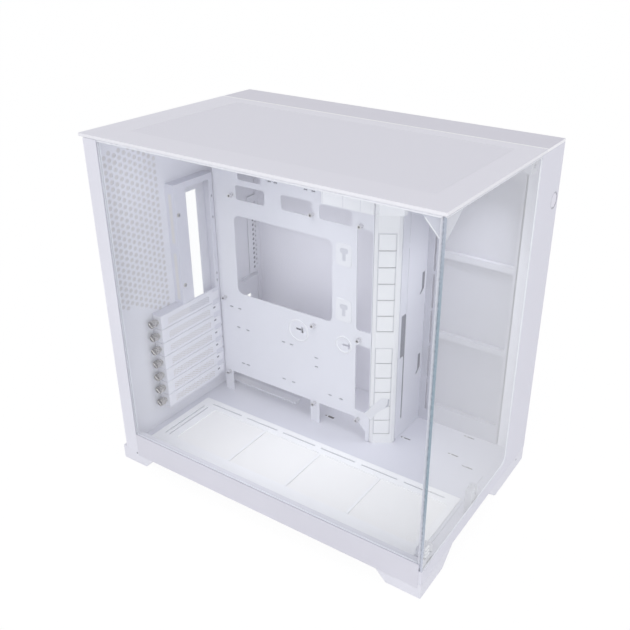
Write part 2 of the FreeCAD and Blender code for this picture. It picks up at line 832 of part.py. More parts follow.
def rear_panel():
    glass_in = left + s.glass + s.gap
    ledge_front = rear_post_front - s.rear_ledge
    section = [
        (left, rear_post_front),
        (glass_in, rear_post_front),
        (glass_in, ledge_front),
        (glass_in + s.steel, ledge_front),
        (glass_in + s.steel, rear_post_front + s.steel),
        (left + s.steel, rear_post_front + s.steel),
        (left + s.steel, wall_in),
        (inner_right, wall_in),
        (inner_right, back),
        (left, back),
    ]
    wall = prism("rear_sheet", "XY", section, floor_under, frame_under)
    corner = box("skirt_clearance", (left + s.steel, left + s.skirt_depth + s.gap),
                 (ledge_front - past, rear_post_front), (floor_under - past, s.skirt_top + s.gap))
    floor_edge = box("floor_clearance", (left + s.skirt_wall - s.gap, glass_in + s.steel + s.gap),
                     (rear_post_front - past, rear_post_front + s.steel), (floor_under - past, floor_top))
    opening = prism("bracket_opening", "XZ", rear_opening(), wall_in - past, back + past)
    psu = box("psu_opening", (psu_x[0] + s.psu_border_x, psu_x[1] - s.psu_border_right),
              (wall_in - past, back + past), (psu_z[0] + s.psu_border_z, psu_z[1] - s.psu_border_top))
    tools = [corner, floor_edge, opening, psu, honeycomb()]
    row_x = (psu_x[0] + s.psu_screw_side, psu_x[0] + s.psu_screw_side + s.psu_screw_row)
    reach = (s.psu_screw_long, s.psu_screw_short)
    for x, span in zip(row_x, reach):
        for z in (psu_z[0] + s.psu_screw_edge, psu_z[0] + s.psu_screw_edge + span):
            hole = rod("psu_screw_hole", "y", (x, wall_in - past, z), s.psu_screw_hole, s.steel + 2 * past)
            tools.append(hole)
    keep("rear_panel", cut("rear_panel_cut", wall, tools))


# Board and slot bracket: stepped box behind the rear wall, with the port aperture and slot openings
def slot_height(i):
    return s.slot_first - i * s.slot_pitch


SLOTS = 7
KNURL_SIDES = 14
SMALL_SIDES = 8
STANDOFF_SIDES = 6


def io_slot_bracket():
    shell = prism("bracket_shell", "XZ", bracket_outline(0.0), bracket_in, wall_in)
    hollow = prism("bracket_hollow", "XZ", bracket_outline(s.steel), bracket_in + s.steel, wall_in + past)
    aperture = box("port_aperture", (s.aperture_left, s.aperture_left + s.aperture_width),
                   (bracket_in - past, bracket_in + past),
                   (s.aperture_bottom, s.aperture_bottom + s.aperture_height))
    tools = [hollow, aperture]
    through = (bracket_in - past, bracket_in + past)
    for i in range(SLOTS):
        middle = slot_height(i)
        opening = box("slot_opening", (s.slots_left + s.slot_open_left, s.bracket_right - s.slot_open_right),
                      through, (middle - s.slot_open_height / 2, middle + s.slot_open_height / 2))
        hole = post("slot_screw_hole", "x", (s.slots_left - past, bracket_in + s.screw_seat, middle),
                    SMALL_SIDES, s.screw_hole, 2 * past)
        tools += [opening, hole]
    fan_y = wall_in - s.fan_slot_back
    for low in (s.fan_slot_bottom, s.fan_slot_bottom + s.fan_slot_pitch):
        slot = box("fan_slot", (s.ports_left - past, s.ports_left + past),
                   (fan_y - s.fan_slot_width / 2, fan_y + s.fan_slot_width / 2), (low, low + s.fan_slot_height))
        tools.append(slot)
    keep("io_slot_bracket", cut("bracket_cut", shell, tools))


# Slot covers: vented strips with a folded screw tab and a narrow tongue
def slot_cover(i):
    middle = slot_height(i)
    half = s.slot_cover_height / 2
    tip = s.bracket_right - 4 * s.steel
    neck = tip - s.tongue_length
    slim = s.tongue_height / 2
    tab_x = s.slots_left - s.steel
    outline = [
        (tab_x, middle - half),
        (neck, middle - half),
        (neck + s.steel, middle - slim),
        (tip, middle - slim),
        (tip, middle + slim),
        (neck + s.steel, middle + slim),
        (neck, middle + half),
        (tab_x, middle + half),
    ]
    strip = prism("slot_strip", "XZ", outline, bracket_in - s.steel, bracket_in)
    vents = []
    for k in range(count("slot_vent_count")):
        low = s.slots_left + s.slot_vent_first + k * s.slot_vent_pitch
        vents.append(rectangle((low, low + s.slot_vent_length),
                               (middle - s.slot_vent_height / 2, middle + s.slot_vent_height / 2)))
    tab = box("slot_tab", (tab_x, s.slots_left), (bracket_in, wall_in - s.steel),
              (middle - half, middle + half))
    whole = fuse("slot_cover_whole", [strip, tab])
    notch = box("slot_tab_notch", (tab_x - past, s.slots_left),
                (bracket_in + s.screw_seat - s.screw_hole, wall_in),
                (middle - s.screw_hole, middle + s.screw_hole))
    notched = cut("slot_cover_notched", whole, [notch])
    keep(f"slot_cover_{i + 1}", punch("slot_cover_cut", notched, "XZ", vents, bracket_in - s.steel, bracket_in))


def thumbscrew(i):
    middle = slot_height(i)
    y = bracket_in + s.screw_seat
    seat = s.slots_left - s.steel
    neck_x = seat - s.screw_neck_length
    head_x = neck_x - s.screw_head_length
    head = post("thumb_head", "x", (head_x, y, middle), KNURL_SIDES, s.screw_head, s.screw_head_length)
    neck = post("thumb_neck", "x", (neck_x, y, middle), SMALL_SIDES, s.screw_neck, s.screw_neck_length)
    shank = post("thumb_shank", "x", (seat, y, middle), SMALL_SIDES, s.screw_shank, s.screw_length)
    whole = fuse("thumbscrew_whole", [head, neck, shank])
    slot = box("thumb_slot", (head_x - past, head_x + s.screw_slot),
               (y - 2 * s.screw_head, y + 2 * s.screw_head),
               (middle - s.screw_slot / 2, middle + s.screw_slot / 2))
    return cut("thumbscrew_cut", whole, [slot])


def slot_hardware():
    for i in range(SLOTS):
        slot_cover(i)
    keep("slot_thumbscrews", together("thumbscrews", [thumbscrew(i) for i in range(SLOTS)]))


# Board tray: plate on three legs with a processor cut-out, cable windows and tie slots
def tray_windows():
    outlines = []
    for name in TRAY_WINDOWS:
        back_edge = s.tray_rear - getattr(s, name + "_back")
        low = getattr(s, name + "_low")
        radius = s.cutout_round if name == "cutout" else s.window_round
        outlines.append(rounded((back_edge - getattr(s, name + "_length"), back_edge),
                                (low, low + getattr(s, name + "_height")), radius))
    return outlines


def key_holes():
    """Openings shaped like a T: a stem along the tray and a crossing head at its front end."""
    outlines = []
    for number in range(len(KEY_HOLES)):
        y = s.tray_rear - getattr(s, f"key_hole_{number}_back")
        z = getattr(s, f"key_hole_{number}_middle")
        tip = y - s.key_length / 2
        outlines.append(rectangle((tip, y + s.key_length / 2), (z - s.key_stem / 2, z + s.key_stem / 2)))
        outlines.append(rectangle((tip, tip + s.key_head), (z - s.key_cross / 2, z + s.key_cross / 2)))
    return outlines


def tray_ties():
    outlines = []
    for number in range(len(TIE_SLOTS)):
        y = s.tray_rear - getattr(s, f"tie_slot_{number}_back")
        z = getattr(s, f"tie_slot_{number}_middle")
        outlines.append(rectangle((y - s.tie_length / 2, y + s.tie_length / 2),
                                  (z - s.tie_height / 2, z + s.tie_height / 2)))
    return outlines


def motherboard_tray():
    legs = [(s.tray_rear - s.leg_width, s.tray_rear), (s.middle_leg, s.middle_leg + s.leg_width)]
    toe = s.tray_front + s.toe_width
    outline = [
        (s.tray_front, floor_top),
        (toe, floor_top),
        (toe, s.tray_bottom - s.tray_chamfer),
        (toe + s.tray_chamfer, s.tray_bottom),
        (legs[1][0], s.tray_bottom),
        (legs[1][0], floor_top),
        (legs[1][1], floor_top),
        (legs[1][1], s.tray_bottom),
        (legs[0][0], s.tray_bottom),
        (legs[0][0], floor_top),
        (legs[0][1], floor_top),
        (legs[0][1], frame_under),
        (s.tray_front, frame_under),
    ]
    tray = prism("tray_sheet", "YZ", outline, s.tray_face, s.tray_face + s.steel)
    holes = tray_windows() + key_holes() + tray_ties()
    keep("motherboard_tray", punch("tray_cut", tray, "YZ", holes, s.tray_face, s.tray_face + s.steel))


def standoff(y, z):
    tip = s.tray_face - s.standoff_height
    nut = post("standoff_post", "x", (tip, y, z), STANDOFF_SIDES, s.standoff_radius, s.standoff_height)
    bore = rod("standoff_bore", "x", (tip - past, y, z), s.standoff_bore, s.standoff_depth + past)
    return cut("standoff_cut", nut, [bore])


def standoffs():
    columns = (as_length(0.0), s.board_middle_column, s.board_last_column)
    rows = (as_length(0.0), s.board_middle_row, s.board_last_row)
    posts = []
    for c, across in enumerate(columns):
        for r, down in enumerate(rows):
            offset = s.board_first_offset if (c, r) == (0, 0) else as_length(0.0)
            posts.append(standoff(s.board_rear - across - offset, s.board_top - down))
    keep("standoffs", together("standoff_set", posts))


# Cable cover: angled column beside the tray with square tiles set in two beds, and a head
def beside_tray(thing):
    thing.Placement = FreeCAD.Placement(FreeCAD.Vector(), FreeCAD.Rotation(FreeCAD.Vector(0, 0, 1), -1))
    bind(thing, "Placement.Rotation.Angle", s.bar_turn)
    return thing


def bar_point(u, v):
    x = bar_start[0] + bar_u[0] * u + bar_v[0] * v
    y = bar_start[1] + bar_u[1] * u + bar_v[1] * v
    return x, y


def bar_section():
    return [
        (as_length(0.0), s.bar_depth),
        (as_length(0.0), as_length(0.0)),
        (s.bar_bevel, -s.bar_rise),
        (s.bar_width - s.bar_bevel, -s.bar_rise),
        (s.bar_width, as_length(0.0)),
        (s.bar_width, s.bar_depth),
    ]


def head_section():
    """Like the column's, with a thin lip that reaches past it."""
    reach = s.bar_width + s.head_reach
    return [
        (as_length(0.0), s.bar_depth),
        (as_length(0.0), as_length(0.0)),
        (s.bar_bevel, -s.head_rise),
        (reach - s.bar_bevel, -s.head_rise),
        (reach, as_length(0.0)),
        (reach, s.head_lip),
        (s.bar_width, s.head_lip),
        (s.bar_width, s.bar_depth),
    ]


def bar_block(name, section, low, high):
    block = prism(name, "XY", section, low, high)
    beside_tray(block)
    move_to(block, *bar_point(0.0, 0.0), low)
    return block


def bar_box(name, u, v, low, high):
    """A block set square to the column's face."""
    block = doc.addObject("Part::Box", name)
    beside_tray(block)
    bind(block, "Length", as_length(u[1]) - u[0])
    bind(block, "Width", as_length(v[1]) - v[0])
    bind(block, "Height", as_length(high) - low)
    move_to(block, *bar_point(u[0], v[0]), low)
    return block


def cable_cover():
    column = bar_block("bar_column", bar_section(), deck_top, s.bar_top)
    bed = -s.bar_rise + s.tile_recess
    tile_u = (s.tile_left, s.tile_left + s.tile_width)
    bed_u = (tile_u[0] - s.tile_border, tile_u[1] + s.tile_border)
    recesses = []
    tiles = []
    for top_tile in (s.tile_upper, s.tile_lower):
        last = top_tile - (s.tiles_in_group - 1) * s.tile_pitch
        recesses.append(bar_box("tile_bed", bed_u, (-s.bar_rise - past, bed), last - s.tile_border,
                                top_tile + s.tile_height + s.tile_border))
        for i in range(count("tiles_in_group")):
            low = top_tile - i * s.tile_pitch
            tiles.append(bar_box("bar_tile", tile_u, (bed - s.tile_thick, bed), low, low + s.tile_height))
    keep("cable_bar", cut("bar_cut", column, recesses))
    keep("cable_bar_tiles", together("tile_set", tiles))
    keep("cable_bar_head", bar_block("bar_head", head_section(), s.bar_top, s.head_top))
    ledge = box("tray_ledge", (s.tray_face - s.ledge_rise, s.tray_face),
                (s.tray_front, s.tray_front + s.ledge_length), (s.ledge_bottom, s.head_top))
    keep("tray_ledge", ledge)


# Stepped panel and side fan bracket
def cable_hook(low):
    x = s.hook_x
    inner = x - s.hook_width
    bend = low + s.hook_slant
    return [
        (inner, low),
        (x, bend),
        (x, low + s.hook_height),
        (inner, low + s.hook_height),
        (inner, bend + s.steel),
        (inner - s.hook_reach, low + s.steel),
    ]


def step_panel():
    outline = rectangle((s.step_left, s.fan_face + s.steel), (floor_top, frame_under))
    panel = prism("step_sheet", "XZ", outline, s.step_front, s.step_front + s.steel)
    hooks = []
    for low in (s.hook_upper, s.hook_lower):
        hooks.append(prism("hook_slot", "XZ", cable_hook(low), s.step_front - past, s.step_front + past))
    edge = right - s.step_slot_from_right
    through = (s.step_front - past, s.step_front + past)
    for low in (s.step_slot_bottom, s.step_slot_bottom + s.step_slot_pitch):
        hooks.append(box("step_slot", (edge - s.step_slot_width, edge), through,
                         (low, low + s.step_slot_height)))
    hooks.append(box("step_notch", (edge - s.step_notch_width, edge), through,
                     (s.step_notch_bottom, s.step_slot_bottom)))
    hooks.append(box("step_slit", (edge - s.step_slit_width, edge), through,
                     (s.step_slit_bottom, s.step_notch_bottom)))
    keep("step_panel", cut("step_cut", panel, hooks))


fan_window_y = (s.fan_window_front, s.fan_window_rear)


def fan_window_z(i):
    low = s.fan_bottom + i * s.fan_pitch
    return low, low + s.fan_window_height


def fan_bracket():
    outline = rectangle((s.fan_end, s.step_front), (floor_top, frame_under))
    plate = prism("fan_sheet", "YZ", outline, s.fan_face, s.fan_face + s.steel)
    collar_end = s.fan_face + s.fan_collar
    collars = []
    holes = []
    for i in range(count("fan_windows")):
        low, high = fan_window_z(i)
        holes.append(rounded(fan_window_y, (low, high), s.window_round))
        collar_y = (fan_window_y[0] - s.steel, fan_window_y[1] + s.steel)
        collar_z = (low - s.steel, high + s.steel)
        collars.append(box("fan_collar", (s.fan_face, collar_end), collar_y, collar_z))
    bracket = fuse("fan_whole", [plate] + collars)
    for i in range(count("fan_dash_count")):
        low = s.fan_dash_bottom + i * s.fan_dash_pitch
        half = s.fan_dash_width / 2
        holes.append(rectangle((s.fan_dash_y - half, s.fan_dash_y + half), (low, low + s.fan_dash_length)))
    keep("fan_bracket", punch("fan_cut", bracket, "YZ", holes, s.fan_face, collar_end))
    margin = s.filter_margin
    low = fan_window_z(0)[0] - margin
    high = fan_window_z(count("fan_windows") - 1)[1] + margin
    cloth = box("fan_filter_cloth", (collar_end, collar_end + s.filter_thick),
                (fan_window_y[0] - margin / 2, fan_window_y[1] + margin / 2), (low, high))
    keep("fan_filter", cloth)
    strip = box("post_strip", (s.fan_face, s.fan_face + s.steel),
                (inner_front + s.steel, s.fan_end - s.post_gap),
                (floor_top, frame_under))
    reach = housing_room + s.housing_wall + s.gap
    notch = box("housing_notch", (s.fan_face - past, s.fan_face + past),
                (glass_back - past, housing_back + s.gap),
                (s.button_z - reach, s.button_z + reach))
    keep("front_inner_post", cut("post_cut", strip, [notch]))


# Top: fan frame on the walls, corner gusset, lift-off panel with a mesh field, fixed strip
vent_x = (left + s.vent_from_left, s.seam_x - s.vent_from_seam)
vent_y = (front + s.vent_from_front, rear - s.vent_from_rear)


def top_frame():
    outline = rectangle((left + s.glass + s.gap, inner_right), (inner_front, wall_in))
    frame = prism("top_frame_sheet", "XY", outline, frame_under, lid_under)
    third = (vent_y[1] - vent_y[0] - 2 * s.fan_bar) / 3
    holes = []
    for i in range(3):
        low = vent_y[0] + i * (third + s.fan_bar)
        holes.append(rectangle(vent_x, (low, low + third)))
    keep("top_frame", punch("top_frame_cut", frame, "XY", holes, frame_under, lid_under))


def corner_gusset():
    x = left + s.glass + s.gap
    y = inner_front
    side = prism("gusset_side", "YZ", [(y, frame_under - s.gusset_drop), (y + s.gusset_side, frame_under),
                                       (y, frame_under)], x, x + s.steel)
    face = prism("gusset_face", "XZ", [(x, frame_under - s.gusset_drop), (x + s.gusset_front, frame_under),
                                       (x, frame_under)], y, y + s.steel)
    keep("corner_gusset", fuse("gusset_whole", [side, face]))


def top_covers():
    plate = prism("top_sheet", "XY", rectangle((left, s.seam_x), (front, rear)), lid_under, s.case_height)
    keep("top_panel", punch("top_cut", plate, "XY", [rectangle(vent_x, vent_y)], lid_under, s.case_height))
    keep("top_mesh", box("top_mesh_field", vent_x, vent_y, (lid_under, s.case_height - s.mesh_recess)))
    keep("top_strip", box("top_strip_sheet", (s.seam_x + s.gap, right), (front, rear),
                          (lid_under, s.case_height)))


# Glass panels and the steel side panel
def glass_panels():
    side = box("side_pane", (left, left + s.glass), (inner_front, rear_post_front - s.gap),
               (s.skirt_top + s.gap, lid_under - s.gap))
    keep("side_glass", side)
    pane = [
        (left, s.bezel_top + s.gap),
        (bezel_left - s.gap, s.bezel_top + s.gap),
        (bezel_left - s.gap, lid_under - s.gap),
        (left, lid_under - s.gap),
    ]
    keep("front_glass", prism("front_pane", "XZ", pane, front, glass_back, {1: s.bezel_round}))


def right_side_panel():
    y = (glass_back + s.bezel_return + s.gap, back)
    z = (floor_under, lid_under - s.gap)
    sheet_plate = prism("side_sheet", "YZ", rectangle(y, z), panel_in, right)
    slots = []
    for i in range(count("fan_windows")):
        low, high = fan_window_z(i)
        for k in range(count("panel_slot_count")):
            base = low + s.panel_slot_inset + k * s.panel_slot_pitch
            span = (fan_window_y[0] + s.panel_slot_inset, fan_window_y[1] - s.panel_slot_inset)
            slots.append(rectangle(span, (base, base + s.panel_slot_height)))
    lip_z = (s.skirt_top, frame_under - s.panel_lip)
    lips = []
    for low in (y[0], wall_in - s.gap - s.steel):
        lips.append(box("side_lip", (panel_in - s.panel_lip, panel_in), (low, low + s.steel), lip_z))
    whole = fuse("side_panel_whole", [sheet_plate] + lips)
    keep("right_side_panel", punch("side_panel_cut", whole, "YZ", slots, panel_in, right))


# Clips that hold the front glass: ribbed sockets on the chassis, round studs on the glass
clip_centres = (left + s.clip_left, left + s.clip_middle)


def clip_socket(x, low, high, stud_z):
    y = (inner_front + s.steel, inner_front + s.steel + s.clip_depth)
    block = box("clip_block", (x - s.clip_width / 2, x + s.clip_width / 2), y, (low, high))
    ribs = []
    for k in (-1, 0, 1):
        middle = x + k * s.clip_width / 3
        ribs.append(box("clip_rib", (middle - s.clip_rib / 2, middle + s.clip_rib / 2), y,
                        (high, high + s.clip_rib_rise)))
    whole = fuse("clip_whole", [block] + ribs)
    bore = post("clip_bore", "y", (x, y[0] - past, stud_z), SMALL_SIDES, s.stud_radius + s.stud_play,
                s.stud_length + past)
    return cut("clip_cut", whole, [bore])


def clips():
    lower_z = s.clip_top - s.stud_drop
    sockets = [clip_socket(x, floor_top, s.clip_top, lower_z) for x in clip_centres]
    upper_x = left + s.clip_upper
    upper_z = frame_under - s.stud_drop
    upper_low = upper_z - s.stud_drop
    sockets.append(clip_socket(upper_x, upper_low, frame_under - s.clip_rib_rise, upper_z))
    keep("clip_sockets", together("socket_set", sockets))
    places = [(x, glass_back, lower_z) for x in clip_centres] + [(upper_x, glass_back, upper_z)]
    studs = [post("clip_stud", "y", place, SMALL_SIDES, s.stud_radius, s.stud_length) for place in places]
    keep("clip_studs", together("stud_set", studs))


# Power button: octagonal key with a flange behind the bezel, in a cup-shaped housing
def power_button():
    key = prism("button_key", "XZ", octagon(s.button_radius), button_face, button_tip)
    flange_y = glass_back + s.button_play
    flange = prism("button_collar", "XZ", octagon(s.button_radius + s.button_flange), flange_y,
                   flange_y + s.steel)
    keep("power_button", fuse("button_whole", [key, flange]))
    cup = prism("housing_cup", "XZ", octagon(housing_room + s.housing_wall), glass_back, housing_back)
    cavity = prism("housing_cavity", "XZ", octagon(housing_room), glass_back - past,
                   housing_back - s.housing_wall)
    keep("button_housing", cut("housing_cut", cup, [cavity]))


# Rear chamber: rails for the power supply and two drive brackets behind the tray
def rear_chamber():
    y = (wall_in - s.psu_rail_length, wall_in)
    rails = []
    for x in (psu_x[0] + s.psu_rail_inset, psu_x[1] - s.psu_rail_inset - s.psu_rail_width):
        rails.append(box("psu_rail", (x, x + s.psu_rail_width), y, (floor_top, psu_z[0])))
    keep("psu_shelf", together("psu_rails", rails))
    face = s.tray_face + s.steel
    for i, label in enumerate(("drive_bracket_rear", "drive_bracket_front")):
        high_y = s.drive_rear - i * s.drive_pitch
        low_y = high_y - s.drive_width
        z = (s.drive_bottom, s.drive_bottom + s.drive_height)
        channel = [
            (face, low_y),
            (face + s.drive_standoff, low_y),
            (face + s.drive_standoff, high_y),
            (face, high_y),
            (face, high_y - s.steel),
            (face + s.drive_standoff - s.steel, high_y - s.steel),
            (face + s.drive_standoff - s.steel, low_y + s.steel),
            (face, low_y + s.steel),
        ]
        plate = prism("drive_channel", "XY", channel, *z)
        middle = (low_y + high_y) / 2
        half_way = (z[0] + z[1]) / 2
        holes = []
        for y_hole in (middle - s.drive_screw_side / 2, middle + s.drive_screw_side / 2):
            for z_hole in (half_way - s.drive_screw_long / 2, half_way + s.drive_screw_long / 2):
                holes.append(rod("drive_hole", "x", (face + s.drive_standoff - 2 * s.steel, y_hole, z_hole),
                                 s.drive_screw_hole, 4 * s.steel))
        keep(label, cut("drive_cut", plate, holes))


base_pan()
bottom_filter()
side_skirt()
front_bezel()
feet()
rear_panel()
io_slot_bracket()
slot_hardware()
motherboard_tray()
standoffs()
cable_cover()
step_panel()
fan_bracket()
top_frame()
corner_gusset()
top_covers()
glass_panels()
right_side_panel()
clips()
power_button()
rear_chamber()

# Build, check every object, then write one file for each sub-part
doc.recompute()
for thing in doc.Objects:
    if "Invalid" in thing.State or "Error" in thing.State:
        raise RuntimeError(f"{thing.Name} failed: {thing.State}")
os.makedirs("parts", exist_ok=True)
for thing in subparts:
    if thing.Shape.isNull() or not thing.Shape.isValid():
        raise RuntimeError(f"{thing.Label} has no valid shape")
for thing in subparts:
    thing.Shape.exportStep(f"parts/{thing.Label}.step")
print(len(subparts), "sub-parts written")
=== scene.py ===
import json
import math

import bmesh
import bpy
from mathutils import Matrix, Vector
from mathutils.geometry import delaunay_2d_cdt


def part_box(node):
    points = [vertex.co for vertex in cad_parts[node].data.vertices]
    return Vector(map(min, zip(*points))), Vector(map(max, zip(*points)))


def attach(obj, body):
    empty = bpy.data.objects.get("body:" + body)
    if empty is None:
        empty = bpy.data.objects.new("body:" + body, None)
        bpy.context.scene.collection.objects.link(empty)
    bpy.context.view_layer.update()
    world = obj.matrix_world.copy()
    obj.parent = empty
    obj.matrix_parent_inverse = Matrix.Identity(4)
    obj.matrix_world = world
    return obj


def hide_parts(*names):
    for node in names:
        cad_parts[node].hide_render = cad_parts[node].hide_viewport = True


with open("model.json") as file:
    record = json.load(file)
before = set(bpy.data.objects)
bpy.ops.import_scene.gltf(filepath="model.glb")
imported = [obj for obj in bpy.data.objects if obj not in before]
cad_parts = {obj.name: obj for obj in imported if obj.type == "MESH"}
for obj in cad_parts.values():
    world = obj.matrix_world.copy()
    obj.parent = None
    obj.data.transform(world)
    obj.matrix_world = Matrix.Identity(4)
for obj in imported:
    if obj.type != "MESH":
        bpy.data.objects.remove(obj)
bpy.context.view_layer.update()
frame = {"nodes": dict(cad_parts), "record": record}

MM = 0.001
nodes = frame["nodes"]
scene = bpy.context.scene

# Sheet thickness and depth of the dark backings in millimetres, and the number of slots
STEEL = 1.0
BACKING = 0.3
SLOTS = 7


# Camera, fitted to seven outer corners of the case in the photograph
def make_camera():
    azimuth = math.radians(58.18678)
    elevation = math.radians(-26.84943)
    roll = math.radians(1.00712)
    focal_pixels = 781.166
    frame_pixels = 630.0
    centre_pixels = (358.669, 308.386)
    eye = Vector((-0.717811, -0.496173, 0.673833))
    look = Vector((math.sin(azimuth) * math.cos(elevation), math.cos(azimuth) * math.cos(elevation),
                   math.sin(elevation)))
    right = look.cross(Vector((0, 0, 1))).normalized()
    up = right.cross(look)
    across = math.cos(roll) * right + math.sin(roll) * up
    upward = -math.sin(roll) * right + math.cos(roll) * up
    data = bpy.data.cameras.new("camera")
    data.sensor_width = 36.0
    data.lens = focal_pixels * data.sensor_width / frame_pixels
    data.shift_x = (frame_pixels / 2 - centre_pixels[0]) / frame_pixels
    data.shift_y = (centre_pixels[1] - frame_pixels / 2) / frame_pixels
    data.clip_start = 0.01
    data.clip_end = 50.0
    camera = bpy.data.objects.new("camera", data)
    scene.collection.objects.link(camera)
    place = Matrix((across, upward, -look)).transposed().to_4x4()
    place.translation = eye
    camera.matrix_world = place
    scene.camera = camera


# Node helpers
def new_material(name):
    material = bpy.data.materials.new(name)
    material.use_nodes = True
    tree = material.node_tree
    tree.nodes.clear()
    output = tree.nodes.new("ShaderNodeOutputMaterial")
    shader = tree.nodes.new("ShaderNodeBsdfPrincipled")
    tree.links.new(shader.outputs["BSDF"], output.inputs["Surface"])
    return material, tree, shader


def set_surface(tree, socket):
    output = next(item for item in tree.nodes if item.type == "OUTPUT_MATERIAL")
    tree.links.new(socket, output.inputs["Surface"])


def node(tree, kind, inputs=None, **settings):
    made = tree.nodes.new(kind)
    for key, value in settings.items():
        setattr(made, key, value)
    for key, value in (inputs or {}).items():
        if isinstance(value, bpy.types.NodeSocket):
            tree.links.new(value, made.inputs[key])
        else:
            made.inputs[key].default_value = value
    return made


def maths(tree, operation, first, second=0.0):
    return node(tree, "ShaderNodeMath", {0: first, 1: second}, operation=operation).outputs[0]


def place_of(tree):
    return node(tree, "ShaderNodeTexCoord").outputs["Object"]


def noise(tree, scale, detail=3.0, rough=0.5):
    made = node(tree, "ShaderNodeTexNoise", {"Vector": place_of(tree), "Scale": scale, "Detail": detail,
                                             "Roughness": rough})
    return made.outputs["Fac"]


def spread(tree, value, low, high):
    made = node(tree, "ShaderNodeMapRange", {"Value": value, "To Min": low, "To Max": high})
    return made.outputs["Result"]


def shade(tree, value, dark, light, first=0.3, last=0.7):
    ramp = node(tree, "ShaderNodeValToRGB", {"Fac": value})
    ramp.color_ramp.elements[0].position = first
    ramp.color_ramp.elements[1].position = last
    ramp.color_ramp.elements[0].color = (*dark, 1)
    ramp.color_ramp.elements[1].color = (*light, 1)
    return ramp.outputs["Color"]


def bump(tree, shader, height, strength, distance):
    made = node(tree, "ShaderNodeBump", {"Height": height, "Strength": strength, "Distance": distance})
    tree.links.new(made.outputs["Normal"], shader.inputs["Normal"])


def tint(colour, factor):
    return tuple(min(1.0, c * factor) for c in colour)


def colour_patches(tree, shader, scale, dark, light):
    tree.links.new(shade(tree, noise(tree, scale), dark, light), shader.inputs["Base Color"])


def gloss_patches(tree, shader, scale, low, high):
    tree.links.new(spread(tree, noise(tree, scale), low, high), shader.inputs["Roughness"])


# Distance from the centre of each cell of a square grid on two axes, from 0 to about 0.7
def cell_distance(tree, pitch, axes):
    parts = node(tree, "ShaderNodeSeparateXYZ", {0: place_of(tree)})
    squares = []
    for axis in axes:
        cell = maths(tree, "FRACT", maths(tree, "MULTIPLY", parts.outputs[axis], 1.0 / pitch))
        away = maths(tree, "SUBTRACT", cell, 0.5)
        squares.append(maths(tree, "MULTIPLY", away, away))
    return maths(tree, "SQRT", maths(tree, "ADD", squares[0], squares[1]))


# Noise scales of the coats, per metre, and the depth of their grain in metres
CLOUD_SCALE = 9.0
GLOSS_SCALE = 60.0
GRAIN_SCALE = 1400.0
GRAIN_DETAIL = 2.0
GRAIN_DEPTH = 0.00008
COAT_SHINE = 0.4


def coat(tree, shader, rough=0.42, grain=0.25):
    either_way = 0.05
    gloss_patches(tree, shader, GLOSS_SCALE, rough - either_way, rough + either_way)
    bump(tree, shader, noise(tree, GRAIN_SCALE, GRAIN_DETAIL), grain, GRAIN_DEPTH)
    shader.inputs["Specular IOR Level"].default_value = COAT_SHINE


# Powder-coated steel: fine orange peel, faint clouding of colour and gloss
def paint(name, colour, rough=0.42, grain=0.25):
    material, tree, shader = new_material(name)
    cloud = 0.02
    colour_patches(tree, shader, CLOUD_SCALE, tint(colour, 1 - cloud), tint(colour, 1 + cloud))
    coat(tree, shader, rough, grain)
    return material


# Lid paint: satin on top, with a painted highlight where the sheet turns down at its rim and along a seam
def lid_paint_with_highlight(name, top, rim, seam=None):
    material, tree, shader = new_material(name)
    rim_slope = 0.55
    top_slope = 0.97
    highlight_sharpness = 800.0
    wander_scale = 12.0
    wander = maths(tree, "MULTIPLY", noise(tree, wander_scale), 0.02)
    facing = node(tree, "ShaderNodeSeparateXYZ", {0: node(tree, "ShaderNodeNewGeometry").outputs["Normal"]})
    upward = maths(tree, "ADD", facing.outputs["Z"], wander)
    if seam is not None:
        across = node(tree, "ShaderNodeSeparateXYZ", {0: place_of(tree)}).outputs["X"]
        past_highlight_line = maths(tree, "MULTIPLY", maths(tree, "SUBTRACT", across, seam * MM), highlight_sharpness)
        upward = maths(tree, "MINIMUM", upward, past_highlight_line)
    tree.links.new(shade(tree, upward, rim, top, rim_slope, top_slope), shader.inputs["Base Color"])
    coat(tree, shader)
    return material


# Moulding with painted shade round a screw socket or button gap at given places
def plastic_with_shade_spots(name, colour, shade_spots, radius):
    material, tree, shader = new_material(name)
    # Colour of the painted shade at the spots
    dark = (0.33, 0.33, 0.37)
    dark_until = 0.42
    plain_from = 0.56
    nearest = None
    for socket in shade_spots:
        spot = tuple(c * MM for c in socket)
        reach = node(tree, "ShaderNodeVectorMath", {0: place_of(tree), 1: spot}, operation="DISTANCE")
        away = reach.outputs["Value"]
        nearest = away if nearest is None else maths(tree, "MINIMUM", nearest, away)
    share = maths(tree, "MULTIPLY", nearest, 0.5 / (radius * MM))
    clouds = maths(tree, "MULTIPLY", noise(tree, CLOUD_SCALE), 0.04)
    share = maths(tree, "ADD", share, clouds)
    tree.links.new(shade(tree, share, dark, colour, dark_until, plain_from), shader.inputs["Base Color"])
    coat(tree, shader, rough=0.55, grain=0.5)
    return material


# Painted sheet with rows of fine round holes
def perforated(name, colour, pitch, depth):
    material, tree, shader = new_material(name)
    away = cell_distance(tree, pitch, ("X", "Y"))
    hole = shade(tree, away, tint(colour, depth), colour, first=0.26, last=0.36)
    tree.links.new(hole, shader.inputs["Base Color"])
    gloss_patches(tree, shader, GLOSS_SCALE, low=0.42, high=0.55)
    bump(tree, shader, away, strength=0.35, distance=0.0003)
    shader.inputs["Specular IOR Level"].default_value = 0.35
    return material


